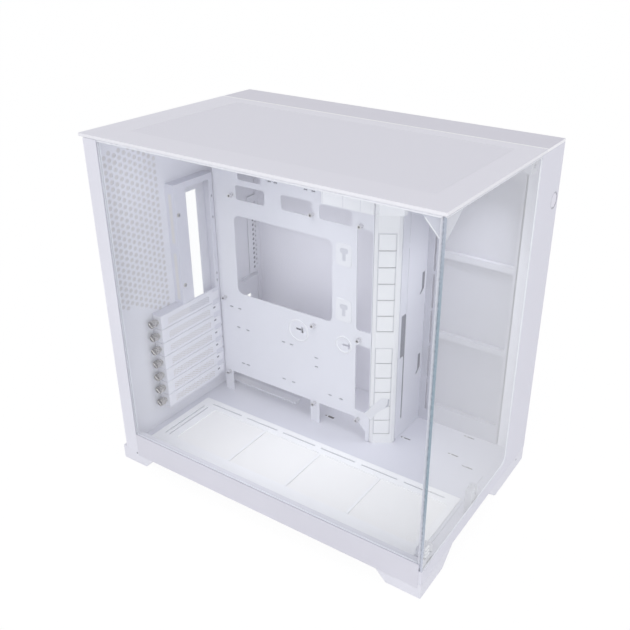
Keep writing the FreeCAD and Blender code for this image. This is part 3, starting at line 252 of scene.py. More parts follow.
# Woven filter cloth: small open squares between threads
def cloth(name, colour, pitch, axes, depth=0.82):
    material, tree, shader = new_material(name)
    away = cell_distance(tree, pitch, axes)
    thread = shade(tree, away, tint(colour, depth), colour, first=0.2, last=0.5)
    tree.links.new(thread, shader.inputs["Base Color"])
    gloss_patches(tree, shader, scale=90.0, low=0.7, high=0.9)
    bump(tree, shader, away, strength=0.6, distance=0.0004)
    shader.inputs["Specular IOR Level"].default_value = 0.2
    return material


# Clear glass pane that lets the lamps through
def glass(name, colour):
    material, tree, shader = new_material(name)
    shader.inputs["Base Color"].default_value = (*colour, 1)
    shader.inputs["Transmission Weight"].default_value = 1.0
    shader.inputs["IOR"].default_value = 1.45
    gloss_patches(tree, shader, scale=30.0, low=0.0, high=0.012)
    path = node(tree, "ShaderNodeLightPath")
    either = maths(tree, "MAXIMUM", path.outputs["Is Shadow Ray"], path.outputs["Is Diffuse Ray"])
    clear = node(tree, "ShaderNodeBsdfTransparent", {"Color": (0.97, 0.98, 0.98, 1)})
    mix = node(tree, "ShaderNodeMixShader", {"Fac": either})
    tree.links.new(shader.outputs["BSDF"], mix.inputs[1])
    tree.links.new(clear.outputs["BSDF"], mix.inputs[2])
    set_surface(tree, mix.outputs["Shader"])
    return material


# Ground edge of a pane: satin, with a tint that changes with height; the change with height is painted
# reflection
def glass_edge(name, low, middle, high):
    material, tree, shader = new_material(name)
    parts = node(tree, "ShaderNodeSeparateXYZ", {0: place_of(tree)})
    pane_top = 0.446
    height = maths(tree, "MULTIPLY", parts.outputs["Z"], 1.0 / pane_top)
    ripple_scale = 40.0
    ripple = spread(tree, noise(tree, ripple_scale), low=0.0, high=0.02)
    ramp = node(tree, "ShaderNodeValToRGB", {"Fac": maths(tree, "ADD", height, ripple)})
    stops = ((0.1, low), (0.32, middle), (0.8, middle), (0.98, high))
    while len(ramp.color_ramp.elements) < len(stops):
        ramp.color_ramp.elements.new(0.5)
    for element, (position, colour) in zip(ramp.color_ramp.elements, stops):
        element.position = position
        element.color = (*colour, 1)
    tree.links.new(ramp.outputs["Color"], shader.inputs["Base Color"])
    gloss_patches(tree, shader, scale=300.0, low=0.2, high=0.35)
    bump(tree, shader, noise(tree, scale=700.0), strength=0.15, distance=0.00005)
    return material


# Plated metal with faint patches in its colour and gloss
def metal(name, colour, rough):
    material, tree, shader = new_material(name)
    either_way = 0.06
    colour_patches(tree, shader, scale=200.0, dark=tint(colour, 0.9), light=tint(colour, 1.05))
    shader.inputs["Metallic"].default_value = 1.0
    gloss_patches(tree, shader, scale=400.0, low=rough - either_way, high=rough + either_way)
    bump(tree, shader, noise(tree, scale=900.0), strength=0.2, distance=0.00005)
    return material


# Matt rubber of the foot pads
def rubber(name, colour):
    material, tree, shader = new_material(name)
    colour_patches(tree, shader, scale=80.0, dark=tint(colour, 0.85), light=tint(colour, 1.1))
    gloss_patches(tree, shader, scale=200.0, low=0.75, high=0.9)
    bump(tree, shader, noise(tree, scale=1500.0), strength=0.5, distance=0.0001)
    return material


# Light and background
def white_to_eye(tree):
    path = node(tree, "ShaderNodeLightPath")
    seen = maths(tree, "MAXIMUM", path.outputs["Is Camera Ray"], path.outputs["Is Glossy Ray"])
    return maths(tree, "MAXIMUM", seen, path.outputs["Is Transmission Ray"])


def make_world():
    world = bpy.data.worlds.new("world")
    scene.world = world
    world.use_nodes = True
    tree = world.node_tree
    tree.nodes.clear()
    soft = node(tree, "ShaderNodeBackground", {"Color": (0.97, 0.97, 1.0, 1), "Strength": 0.76})
    white = node(tree, "ShaderNodeBackground", {"Color": (1, 1, 1, 1), "Strength": 1.0})
    mix = node(tree, "ShaderNodeMixShader", {"Fac": white_to_eye(tree)})
    tree.links.new(soft.outputs[0], mix.inputs[1])
    tree.links.new(white.outputs[0], mix.inputs[2])
    output = node(tree, "ShaderNodeOutputWorld")
    tree.links.new(mix.outputs[0], output.inputs["Surface"])


def make_floor():
    mesh = bpy.data.meshes.new("floor")
    reach = 6.0
    mesh.from_pydata([(-reach, -reach, 0), (reach, -reach, 0), (reach, reach, 0), (-reach, reach, 0)], [],
                     [(0, 1, 2, 3)])
    floor = bpy.data.objects.new("floor", mesh)
    scene.collection.objects.link(floor)
    material, tree, shader = new_material("floor_white")
    shader.inputs["Base Color"].default_value = (0.9, 0.9, 0.92, 1)
    shader.inputs["Roughness"].default_value = 0.9
    shader.inputs["Specular IOR Level"].default_value = 0.0
    glow = node(tree, "ShaderNodeEmission", {"Color": (1, 1, 1, 1), "Strength": 1.02})
    glow_share = 0.94
    share = maths(tree, "MULTIPLY", white_to_eye(tree), glow_share)
    mix = node(tree, "ShaderNodeMixShader", {"Fac": share})
    tree.links.new(shader.outputs["BSDF"], mix.inputs[1])
    tree.links.new(glow.outputs[0], mix.inputs[2])
    set_surface(tree, mix.outputs[0])
    mesh.materials.append(material)


# Each lamp has a name, a place, an aim, a width in metres and a power in watts
def make_lamps():
    narrow = ("deck_fill", "step_fill", "deck_back", "rear_fill")
    narrow_spread = math.radians(80)
    lamps = [
        ("key", (-1.9, -0.7, 0.95), (0.03, 0.0, 0.22), 1.5, 10.0),
        ("front_fill", (-0.3, -2.0, 0.7), (0.0, 0.0, 0.22), 1.4, 3.4),
        ("deck_fill", (-0.065, 0.03, 0.44), (-0.065, 0.03, 0.0), 0.16, 0.1),
        ("step_fill", (0.09, -0.17, 0.39), (0.1, -0.09, 0.05), 0.06, 0.04),
        ("chamber_fill", (0.046, 0.07, 0.22), (0.148, 0.07, 0.22), 0.26, 0.09),
        ("chamber_low", (0.046, 0.0, 0.11), (0.148, 0.0, 0.11), 0.12, 0.024),
        ("rear_fill", (-0.105, 0.03, 0.4), (-0.105, 0.222, 0.4), 0.08, 0.012),
        ("deck_back", (0.095, -0.02, 0.2), (0.095, -0.02, 0.0), 0.1, 0.012),
    ]
    for name, spot, aim, size, power in lamps:
        data = bpy.data.lights.new(name, "AREA")
        data.shape = "DISK"
        data.size = size
        data.energy = power
        lamp = bpy.data.objects.new(name, data)
        scene.collection.objects.link(lamp)
        lamp.location = spot
        lamp.rotation_euler = (Vector(aim) - Vector(spot)).to_track_quat("-Z", "Y").to_euler()
        if name in narrow:
            data.spread = narrow_spread
        lamp.visible_camera = False
        lamp.visible_glossy = name == "key"
        lamp.visible_transmission = False


FRAME_WHITE = (0.80, 0.80, 0.86)
COVER_WHITE = (0.79, 0.785, 0.85)
BRIGHT_WHITE = (0.93, 0.93, 0.95)

MATERIALS = {
    "frame_paint": paint("frame_paint", FRAME_WHITE),
    "cover_paint": paint("cover_paint", COVER_WHITE),
    "bright_plastic": paint("bright_plastic", BRIGHT_WHITE, 0.5, 0.35),
    "tile_plastic": paint("tile_plastic", (0.86, 0.86, 0.88), 0.5, 0.35),
    "foot_plastic": paint("foot_plastic", (0.82, 0.82, 0.87), 0.55, 0.5),
    "pad_rubber": rubber("pad_rubber", (0.3, 0.3, 0.32)),
    "filter_mesh": cloth("filter_mesh", (0.95, 0.94, 0.94), 0.0016, ("X", "Y"), 0.93),
    "top_mesh_metal": perforated("top_mesh_metal", (0.80, 0.795, 0.86), 0.0024, 0.9),
    "clear_glass": glass("clear_glass", (0.975, 0.985, 0.99)),
    "nickel": metal("nickel", (0.62, 0.60, 0.58), 0.28),
    "clip_plastic": paint("clip_plastic", (0.84, 0.84, 0.87), 0.5, 0.4),
    "button_plastic": paint("button_plastic", (0.80, 0.79, 0.86), 0.45, 0.3),
}
FAN_CLOTH = cloth("fan_cloth", (0.54, 0.54, 0.61), 0.0016, ("Y", "Z"), 0.9)
# Cloth-textured sheets of painted shade, seen through the rear vent's and the slot covers' holes
VENT_HOLE_SHADE = cloth("vent_hole_shade", (0.73, 0.71, 0.73), 0.0015, ("X", "Z"))
COVER_HOLE_SHADE = cloth("cover_hole_shade", (0.58, 0.54, 0.51), 0.0015, ("X", "Z"))
# Pale and mid edges: lighter copies of the ground edge, painted light; the teal edge keeps the glass's own
# tint
PALE_EDGE = glass_edge("pale_edge", (0.84, 0.85, 0.91), (0.86, 0.88, 0.92), (0.88, 0.89, 0.93))
MID_EDGE = glass_edge("mid_edge", (0.67, 0.68, 0.735), (0.67, 0.68, 0.735), (0.69, 0.70, 0.75))
TEAL_EDGE = glass_edge("teal_edge", (0.60, 0.62, 0.70), (0.29, 0.37, 0.43), (0.42, 0.46, 0.53))
# Lid and top strip: the rim colours and the strip's bright line along its seam are painted highlight
LID_WHITE = lid_paint_with_highlight("lid_white", COVER_WHITE, (0.86, 0.86, 0.89))
STRIP_WHITE = lid_paint_with_highlight("strip_white", (0.69, 0.68, 0.75), (0.95, 0.95, 0.97), 95.0)
FOOT_WHITE = plastic_with_shade_spots("foot_white", (0.80, 0.80, 0.855),
                             [(-150, 203.9, 18.0), (-150, -203.4, 16.5), (122.7, -230, 15.7)], 1.5)
CLIP_WHITE = paint("clip_white", (0.58, 0.58, 0.64), 0.5, 0.4)
BAR_WHITE = paint("bar_white", (0.85, 0.85, 0.87), 0.5, 0.35)
# Near-black painted shade, in the floor's slots and round the power button
DEEP_SHADE = paint("deep_shade", (0.13, 0.12, 0.13), 0.7)
SHADOW = paint("shadow", (0.30, 0.30, 0.34), 0.7)
TILE_BED = paint("tile_bed", (0.70, 0.70, 0.74), 0.7)
# Painted shade in the gaps between the column's tiles
TILE_GAP_SHADE = paint("seam", (0.36, 0.35, 0.37), 0.7)
# Pale paint standing for light seen through the bracket's fan slots: painted light
SLOT_LIGHT = paint("slot_light", (0.74, 0.72, 0.72), 0.6)
POST_SHADE = paint("post_shade", (0.50, 0.50, 0.56), 0.7)
SLOT_SHADE = paint("slot_shade", (0.56, 0.56, 0.60), 0.7)
SKIRT_WHITE = paint("skirt_white", (0.72, 0.715, 0.775))
# Darker copy of the white paint on the floor deck: painted shade
DECK_WHITE = paint("deck_white", (0.70, 0.70, 0.77))
BEZEL_WHITE = plastic_with_shade_spots("bezel_white", (0.765, 0.765, 0.83), [(136.5, -230, 380.0)], 10.4)
# Darker and brighter copies of the nickel: painted shade and painted highlight on the thumbscrews
SHADED_NICKEL = metal("shaded_nickel", (0.26, 0.25, 0.25), 0.34)
LIT_NICKEL = metal("lit_nickel", (0.90, 0.88, 0.86), 0.25)
PALE_ZINC = metal("pale_zinc", (0.80, 0.79, 0.80), 0.4)
# Darker copy of the white paint on the corner gusset: painted shade
INNER_WHITE = paint("inner_white", (0.66, 0.66, 0.73))
BRACE_WHITE = paint("brace_white", (0.78, 0.78, 0.82), 0.5)
BRACKET_WHITE = paint("bracket_white", (0.70, 0.70, 0.775))
# Darker copy of the white paint on the fan bracket: painted shade
RAIL_WHITE = paint("rail_white", (0.55, 0.55, 0.615))
EMBOSS = paint("emboss", (0.84, 0.84, 0.88))
# Painted shade of the keyholes in the tray's raised fields
KEYHOLE_SHADE = paint("keyhole_shade", (0.66, 0.66, 0.72), 0.6)


# Mesh pieces, in millimetres
class Shape:
    def __init__(self):
        self.points = []
        self.faces = []
        self.looks = []

    def add(self, points, faces, look=0):
        start = len(self.points)
        self.points += points
        self.faces += [[start + i for i in face] for face in faces]
        self.looks += [look] * len(faces)

    def block(self, low, high, look=0):
        x, y, z = zip(low, high)
        points = [(x[i & 1], y[i >> 1 & 1], z[i >> 2]) for i in range(8)]
        faces = [(0, 2, 3, 1), (4, 5, 7, 6), (0, 1, 5, 4), (2, 6, 7, 3), (0, 4, 6, 2), (1, 3, 7, 5)]
        self.add(points, faces, look)

    def rings(self, rings, look=0, caps=(True, True), cap_looks=None):
        """Skin a row of point rings with the same count, closed round."""
        total = len(rings[0])
        points = [point for ring in rings for point in ring]
        faces = []
        for k in range(len(rings) - 1):
            for i in range(total):
                j = (i + 1) % total
                faces.append((k * total + i, k * total + j, (k + 1) * total + j, (k + 1) * total + i))
        self.add(points, faces, look)
        cap_looks = cap_looks or (look, look)
        if caps[0]:
            self.add(list(rings[0]), [tuple(reversed(range(total)))], cap_looks[0])
        if caps[1]:
            self.add(list(rings[-1]), [tuple(range(total))], cap_looks[1])


def make_piece(name, shape, materials, body="chassis", stands_for=(), smooth=False):
    mesh = bpy.data.meshes.new(name)
    mesh.from_pydata([tuple(c * MM for c in point) for point in shape.points], [], shape.faces)
    for material in materials:
        mesh.materials.append(material)
    for face, look in zip(mesh.polygons, shape.looks):
        face.material_index = look
        face.use_smooth = smooth
    work = bmesh.new()
    work.from_mesh(mesh)
    bmesh.ops.remove_doubles(work, verts=work.verts, dist=1e-7)
    bmesh.ops.recalc_face_normals(work, faces=work.faces)
    work.to_mesh(mesh)
    work.free()
    piece = bpy.data.objects.new(name, mesh)
    scene.collection.objects.link(piece)
    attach(piece, body)
    if stands_for:
        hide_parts(*stands_for)
    return piece


def soften(thing, width):
    edge = thing.modifiers.new("soft_edges", "BEVEL")
    edge.width = width * MM
    edge.segments = 2
    edge.limit_method = "ANGLE"
    edge.angle_limit = math.radians(40)
    edge.harden_normals = True


def limits(name):
    """Box of a CAD node in millimetres, as (low, high) on each axis."""
    low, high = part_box(name)
    return [(low[i] / MM, high[i] / MM) for i in range(3)]


def arc(centre, radius, start, end, steps):
    points = []
    for i in range(steps + 1):
        angle = math.radians(start + (end - start) * i / steps)
        points.append((centre[0] + radius * math.cos(angle), centre[1] + radius * math.sin(angle)))
    return points


def rectangle(u, v):
    return [(u[0], v[0]), (u[1], v[0]), (u[1], v[1]), (u[0], v[1])]


def circle(centre, radius, steps):
    return arc(centre, radius, 0, 360, steps)[:-1]


def rounded_rectangle(u, v, radius, steps=5):
    corners = [(u[1] - radius, v[1] - radius, 0), (u[0] + radius, v[1] - radius, 90),
               (u[0] + radius, v[0] + radius, 180), (u[1] - radius, v[0] + radius, 270)]
    points = []
    for across, upward, start in corners:
        points += arc((across, upward), radius, start, start + 90, steps)
    return points


def inset(points, amount):
    """A convex outline, drawn anticlockwise, moved inwards by an amount."""
    least_turn = 0.2
    total = len(points)
    moved = []
    for i in range(total):
        before = Vector(points[i]) - Vector(points[i - 1])
        after = Vector(points[(i + 1) % total]) - Vector(points[i])
        first = Vector((-before.y, before.x)).normalized()
        second = Vector((-after.y, after.x)).normalized()
        step = (first + second) * (amount / max(1.0 + first.dot(second), least_turn))
        moved.append((points[i][0] + step.x, points[i][1] + step.y))
    return moved


LIFT = {
    "x": lambda u, v, w: (w, u, v),
    "y": lambda u, v, w: (u, w, v),
    "z": lambda u, v, w: (u, v, w),
}


def chamfered_plate(shape, outline, axis, low, high, chamfer, look=0, cap_look=None, far_chamfer=None):
    """A plate with an outline across one axis and chamfered rims on both faces."""
    lift = LIFT[axis]
    far = chamfer if far_chamfer is None else far_chamfer
    levels = [(inset(outline, chamfer), low), (outline, low + chamfer), (outline, high - far),
              (inset(outline, far), high)]
    rings = [[lift(u, v, w) for u, v in ring] for ring, w in levels]
    cap = look if cap_look is None else cap_look
    shape.rings(rings, look, cap_looks=(cap, cap))


def sheet_with_holes(shape, outer, holes, axis, low, high, look=0):
    """A flat sheet across one axis, with an outline and holes cut through it."""
    lift = LIFT[axis]
    points = []
    loops = []
    for loop in [outer] + holes:
        loops.append(list(range(len(points), len(points) + len(loop))))
        points += [Vector(point) for point in loop]
    inside_only = 1
    merge_within = 1e-5
    cut = delaunay_2d_cdt(points, [], loops, inside_only, merge_within)
    corners = cut[0]
    faces = cut[2]
    sources = cut[5]
    kept = [tuple(face) for face, source in zip(faces, sources) if list(source) == [0]]
    for level in (low, high):
        shape.add([lift(corner.x, corner.y, level) for corner in corners], kept, look)
    for loop in [outer] + holes:
        rings = [[lift(u, v, level) for u, v in loop] for level in (low, high)]
        shape.rings(rings, look, caps=(False, False))


# Glass panes with ground edges
def glass_panes():
    side_chamfer = 1.4
    front_chamfer = 0.5
    back_chamfer = 1.8
    corner = 12.0
    near_edge = 1.0
    x, y, z = limits("side_glass")
    pane = Shape()
    chamfered_plate(pane, rectangle(y, z), "x", x[0], x[1], side_chamfer, 1, 0)
    piece = make_piece("side_pane", pane, [MATERIALS["clear_glass"], PALE_EDGE, MID_EDGE],
                       "side_glass_panel", ["side_glass"])
    for face in piece.data.polygons:
        place = face.center.y / MM
        upright = place < y[0] + near_edge or place > y[1] - near_edge
        if face.material_index == 1 and upright:
            face.material_index = 2
    x, y, z = limits("front_glass")
    outline = [(x[1], z[1]), (x[0], z[1]), (x[0], z[0])]
    outline += arc((x[1] - corner, z[0] + corner), corner, 270, 360, 8)
    pane = Shape()
    chamfered_plate(pane, outline, "y", y[0], y[1], front_chamfer, 1, 0, back_chamfer)
    piece = make_piece("front_pane", pane, [MATERIALS["clear_glass"], PALE_EDGE, TEAL_EDGE],
                       "front_glass_panel", ["front_glass"])
    for face in piece.data.polygons:
        if face.material_index == 1 and face.center.x / MM < x[0] + near_edge:
            face.material_index = 2


def honeycomb(x, z, pitch, radius, floor_line=None):
    """Hexagons in staggered columns that fill a rectangle, above a line where one is given."""
    column_pitch = pitch * math.sqrt(3) / 2
    columns = int((x[1] - x[0]) / column_pitch)
    rows = int((z[1] - z[0]) / pitch - 0.5)
    holes = []
    for column in range(columns):
        shift = pitch / 2 if column % 2 else 0.0
        for row in range(rows):
            spot = (x[0] + (column + 0.5) * column_pitch, z[0] + (row + 0.5) * pitch + shift)
            if floor_line is None or spot[1] > floor_line(spot[0]):
                holes.append(circle(spot, radius, 6))
    return holes


# Slanting lower edge of the rear vent
def vent_floor(place):
    edge_place = -69.0
    edge_height = 196.0
    slope = -0.46
    return edge_height + slope * (place - edge_place)


# Rear wall with the fine honeycomb, its folded corner post, and a cloth-textured sheet of painted shade in
# the vent, seen through its holes
def rear_wall():
    x, y, z = limits("rear_panel")
    vent_x = (-127.3, -43.2)
    vent_z = (192.0, 432.0)
    cell_pitch = 8.78
    cell_radius = 3.2
    bracket_opening = [(-77.0, 53.0), (37.0, 53.0), (37.0, 172.0), (21.4, 172.0), (21.4, 340.6),
                       (-23.0, 340.6), (-23.0, 193.5), (-77.0, 193.5)]
    power_opening = rectangle((62.0, 124.0), (39.0, 145.0))
    screw_spots = ((68.0, 31.0), (68.0, 169.0), (132.0, 31.0), (132.0, 145.0))
    screw_radius = 2.0
    holes = [bracket_opening, power_opening]
    holes += [circle(spot, screw_radius, 12) for spot in screw_spots]
    holes += honeycomb(vent_x, vent_z, cell_pitch, cell_radius, vent_floor)
    wall = Shape()
    sheet_with_holes(wall, rectangle(x, z), holes, "y", y[1] - STEEL, y[1])
    make_piece("rear_wall", wall, [MATERIALS["frame_paint"]], stands_for=["rear_panel"])
    post_front = y[1] - 21.0
    glass_in = x[0] + 4.4
    skirt_top = 49.4
    post_top = z[1] + 1.3
    lip = 3.0
    fold = Shape()
    fold.block((x[0], post_front, z[0]), (x[0] + STEEL, y[1] - STEEL, post_top))
    fold.block((x[0] + STEEL, post_front, skirt_top), (glass_in, post_front + STEEL, post_top))
    fold.block((glass_in, post_front - lip, skirt_top), (glass_in + STEEL, post_front + STEEL, post_top))
    make_piece("rear_post", fold, [MATERIALS["frame_paint"]])
    # Painted shade behind the honeycomb holes
    shade_front = y[1] - 0.45
    shade_back = y[1] - 0.25
    shade_sheet = Shape()
    shade_sheet.block((vent_x[0], shade_front, vent_z[0]), (vent_x[1], shade_back, vent_z[1]))
    make_piece("vent_shade_sheet", shade_sheet, [VENT_HOLE_SHADE])


# Frame pressed round the power supply's opening, with a perforated strip above it
def chamber_plate():
    wall_in = limits("rear_panel")[1][1] - STEEL
    frame_rise = 1.2
    frame_outer = rectangle((54.0, 140.0), (27.0, 174.0))
    frame_inner = rectangle((61.0, 125.0), (38.0, 146.0))
    strip_x = (123.0, 147.0)
    strip_z = (178.0, 300.0)
    strip_y = (wall_in - 1.6, wall_in - 0.6)
    backing_y = (wall_in - 0.5, wall_in - 0.2)
    strip_holes = honeycomb((131.0, 146.0), (182.0, 298.0), 7.6, 2.6)
    fold_low = (102.0, wall_in - 9.0, 174.0)
    fold_high = (136.0, wall_in, 176.0)
    plate = Shape()
    sheet_with_holes(plate, frame_outer, [frame_inner], "y", wall_in - frame_rise, wall_in)
    sheet_with_holes(plate, rectangle(strip_x, strip_z), strip_holes, "y", *strip_y)
    plate.block((strip_x[0], backing_y[0], strip_z[0]), (strip_x[1], backing_y[1], strip_z[1]), 1)
    plate.block(fold_low, fold_high)
    make_piece("chamber_plate", plate, [MATERIALS["frame_paint"], SHADOW])


# Slot covers: strip with a band of fine holes, folded screw tab and tongue, and a cloth-textured sheet of
# painted shade behind the holes
def slot_cover(number):
    name = f"slot_cover_{number}"
    x, y, z = limits(name)
    face = y[0]
    wide = 0.5
    low = z[0] - wide
    high = z[1] + wide
    neck = x[1] - 13.0
    slim = 3.7
    band_x = (x[0] + 13.0, x[1] - 18.0)
    band_z = (z[0] + 2.2, z[1] - 2.2)
    hole_pitch = 3.2
    hole_radius = 1.1
    shade_y = (face + 0.4, face + 0.6)
    outer = [(x[0], low), (neck, low), (neck + STEEL, low + slim), (x[1], low + slim), (x[1], high - slim),
             (neck + STEEL, high - slim), (neck, high), (x[0], high)]
    strip = Shape()
    holes = honeycomb(band_x, band_z, hole_pitch, hole_radius)
    sheet_with_holes(strip, outer, holes, "y", face, face + STEEL)
    middle = (band_x[0] + band_x[1]) / 2
    # Painted shade behind the holes: the first cover's far half takes the darker shadow
    far_look = 2 if number == 1 else 1
    strip.block((band_x[0], shade_y[0], band_z[0]), (middle, shade_y[1], band_z[1]), 1)
    strip.block((middle, shade_y[0], band_z[0]), (band_x[1], shade_y[1], band_z[1]), far_look)
    strip.block((x[0], face + STEEL, z[0]), (x[0] + STEEL, y[1], z[1]))
    make_piece(name + "_strip", strip, [MATERIALS["frame_paint"], COVER_HOLE_SHADE, SHADOW],
               stands_for=[name])


def ridged_ring(centre, level, size, ridges, groove):
    points = []
    for k in range(2 * ridges):
        angle = math.pi * k / ridges
        reach = size - (groove if k % 2 else 0.0)
        points.append((level, centre[0] + reach * math.cos(angle), centre[1] + reach * math.sin(angle)))
    return points


# Thumbscrews: knurled head with a driver slot, neck and shank; the head's face and rim are painted shade in
# a darker copy of the nickel, the slot painted highlight in a brighter copy
def thumbscrews():
    pitch = 20.32
    x, y, z = limits("slot_thumbscrews")
    radius = (y[1] - y[0]) / 2
    centre_y = (y[0] + y[1]) / 2
    top = z[1] - radius
    ridges = 26
    groove = 0.35
    neck = 3.6
    shank = 1.6
    rim = radius - 1.0
    slot_half = 0.95
    slot_floor = x[0] + 0.5
    slot_turn = 40.0
    head_end = x[0] + 9.0
    neck_end = head_end + 2.6
    profile = [(x[0], rim, 0.0), (x[0] + 0.7, radius - 0.2, groove), (x[0] + 7.6, radius, groove),
               (head_end, radius - 0.8, 0.0), (head_end, neck, 0.0), (neck_end, neck, 0.0),
               (neck_end, shank, 0.0), (x[1], shank, 0.0)]
    edge = math.degrees(math.asin(slot_half / rim))
    chord = math.sqrt(rim * rim - slot_half * slot_half)
    along = Vector((math.cos(math.radians(slot_turn)), math.sin(math.radians(slot_turn))))
    across = Vector((-along.y, along.x))
    screws = Shape()
    for i in range(SLOTS):
        centre = (centre_y, top - i * pitch)
        rings = [ridged_ring(centre, level, size, ridges, wave) for level, size, wave in profile]
        screws.rings(rings[:2], 3, caps=(False, False))
        screws.rings(rings[1:], 2, caps=(False, True))
        for turn in (slot_turn, slot_turn + 180):
            half_disc = arc(centre, rim, turn + edge, turn + 180 - edge, 24)
            screws.add([(x[0], u, v) for u, v in half_disc], [tuple(range(len(half_disc)))], 3)
            ends = [half_disc[0], half_disc[-1]]
            wall = [(x[0], u, v) for u, v in ends]
            wall += [(slot_floor, u, v) for u, v in reversed(ends)]
            screws.add(wall, [(0, 1, 2, 3)], 1)
        bed = []
        for u, v in rectangle((-chord, chord), (-slot_half, slot_half)):
            spot = u * along + v * across
            bed.append((slot_floor, centre[0] + spot.x, centre[1] + spot.y))
        screws.add(bed, [(0, 1, 2, 3)], 1)
    make_piece("thumbscrews", screws, [MATERIALS["nickel"], LIT_NICKEL, MATERIALS["nickel"], SHADED_NICKEL],
               stands_for=["slot_thumbscrews"])


# Raised fields with cable grommets on the board tray; each grommet's keyhole is a raised plate in painted
# shade, standing for its inset opening
def tray_fields():
    face = limits("motherboard_tray")[0][0]
    rise = 0.7
    chamfer = 0.3
    corner = 5.0
    grommet_chamfer = 0.05
    stem = ((-3.0, 2.0), (-8.0, 4.0), 1.2, 3, 0.15)
    head = ((-6.5, 5.5), (2.0, 9.0), 2.5, 4, 0.2)
    fields = Shape()
    for middle, size in (((-4.0, 292.0), (24.0, 31.0)), ((-4.3, 214.0), (24.5, 33.0))):
        u = (middle[0] - size[0] / 2, middle[0] + size[0] / 2)
        v = (middle[1] - size[1] / 2, middle[1] + size[1] / 2)
        chamfered_plate(fields, rounded_rectangle(u, v, corner), "x", face - rise, face, chamfer)
        for across, upward, bend, steps, height in (stem, head):
            u = (middle[0] + across[0], middle[0] + across[1])
            v = (middle[1] + upward[0], middle[1] + upward[1])
            outline = rounded_rectangle(u, v, bend, steps)
            chamfered_plate(fields, outline, "x", face - rise - height, face - rise, grommet_chamfer, 1)
    make_piece("tray_fields", fields, [EMBOSS, KEYHOLE_SHADE])


# Rings pressed round the two keyed openings
def tray_rings():
    face = limits("motherboard_tray")[0][0]
    profile = ((0.0, 0.0), (0.5, 0.6), (2.2, 0.6), (2.8, 0.0))
    rings = Shape()
    for middle, radius in (((69.5, 162.0), 17.0), ((-4.5, 163.0), 13.0)):
        skin = []
        for inward, rise in profile:
            skin.append([(face - rise, u, v) for u, v in circle(middle, radius - inward, 40)])
        rings.rings(skin, caps=(False, False))
    make_piece("tray_rings", rings, [EMBOSS], smooth=True)


# Small pan-head screws on the bracket
def bracket_screws():
    face = limits("io_slot_bracket")[1][0]
    profile = ((2.9, 0.0), (2.7, 0.7), (1.8, 1.2))
    screws = Shape()
    for middle in ((-28.6, 321.0), (-28.0, 221.0)):
        skin = []
        for size, rise in profile:
            skin.append([(u, face - rise, v) for u, v in circle(middle, size, 20)])
        screws.rings(skin, caps=(False, True), cap_looks=(0, 1))
    make_piece("bracket_screws", screws, [MATERIALS["nickel"], SHADOW], smooth=True)


# Painted shade: dark backing of the tray's tie slots, each at a distance from the rear and a height
def tie_pockets(dark):
    x, y = limits("motherboard_tray")[:2]
    half_long = 4.0
    half_high = 2.0
    ties = [(20.0, 166.0), (35.0, 166.0), (31.0, 135.0), (48.0, 135.0), (112.0, 136.0), (126.0, 136.0),
            (97.0, 366.0), (107.0, 366.0), (154.0, 366.0), (166.0, 366.0), (36.0, 76.0), (45.0, 76.0),
            (111.0, 75.0), (128.0, 75.0), (191.0, 76.0), (209.0, 76.0), (168.0, 114.0), (168.0, 128.0)]
    for back, height in ties:
        place = y[1] - back
        dark.block((x[1], place - half_long, height - half_high),
                   (x[1] + BACKING, place + half_long, height + half_high))


# Painted shade: dark backing of the stepped panel's two hooks and its long slot
def hook_pockets(dark):
    x, y = limits("step_panel")[:2]
    hook_x = (x[1] - 21.0, x[1] - 2.0)
    slot_x = (67.0, 82.0)
    slot_z = (48.0, 214.0)
    below = 2.0
    above = 33.0
    for low in (225.0, 101.5):
        dark.block((hook_x[0], y[1], low - below), (hook_x[1], y[1] + BACKING, low + above))
    dark.block((slot_x[0], y[1], slot_z[0]), (slot_x[1], y[1] + BACKING, slot_z[1]))


# Painted shade of keyed slots in the floor, as dark films on it, each at a distance from the right side and
# from the front
def floor_pockets(dark):
    case_right = 150.0
    case_front = -230.0
    floor_top = 22.0
    film_top = floor_top + 0.12
    slim = 0.9
    rear_wide = 1.9
    rear_from = 200.0
    long_run = (-7.4, 2.4)
    short_run = (4.8, 7.4)
    for side, middle in ((74.0, 144.5), (73.0, 75.5), (25.0, 74.0), (89.0, 262.0), (87.0, 48.0)):
        spot = (case_right - side, case_front + middle)
        wide = rear_wide if middle > rear_from else slim
        for half, run in ((wide, long_run), (slim, short_run)):
            dark.block((spot[0] - half, spot[1] + run[0], floor_top),
                       (spot[0] + half, spot[1] + run[1], film_top), 2)


# Painted shade of small holes and slots of the bracket, beside the ports and the slot covers, and painted
# light on pale strips over its two fan slots
def bracket_pockets(dark):
    face = limits("io_slot_bracket")[1][0]
    film = 0.15
    step = 1.0
    row_x = (21.2, 25.6)
    row_top = 166.0
    row_pitch = 20.4
    row_half = 1.3
    half_wide = 0.8
    half_tall = 1.6
    edge_x = (36.0, 37.2)
    edge_half = 1.5
    fan_low = (-34.2, 212.0)
    fan_high = (-34.05, 217.2)
    fan_height = 67.0
    for u, v in ((35.0, 330.0), (35.0, 300.0), (35.0, 216.0), (34.5, 205.0)):
        dark.block((u - half_wide, face - film, v - half_tall), (u + half_wide, face, v + half_tall))
    for row in range(SLOTS - 1):
        v = row_top - row_pitch * row
        dark.block((row_x[0], face - step - film, v - row_half), (row_x[1], face - step, v + row_half))
    for v in (132.0, 112.0, 95.0):
        dark.block((edge_x[0], face - film, v - edge_half), (edge_x[1], face, v + edge_half))
    # Painted light seen through the two fan slots
    for low in (200.0, 282.0):
        dark.block((*fan_low, low), (*fan_high, low + fan_height), 1)


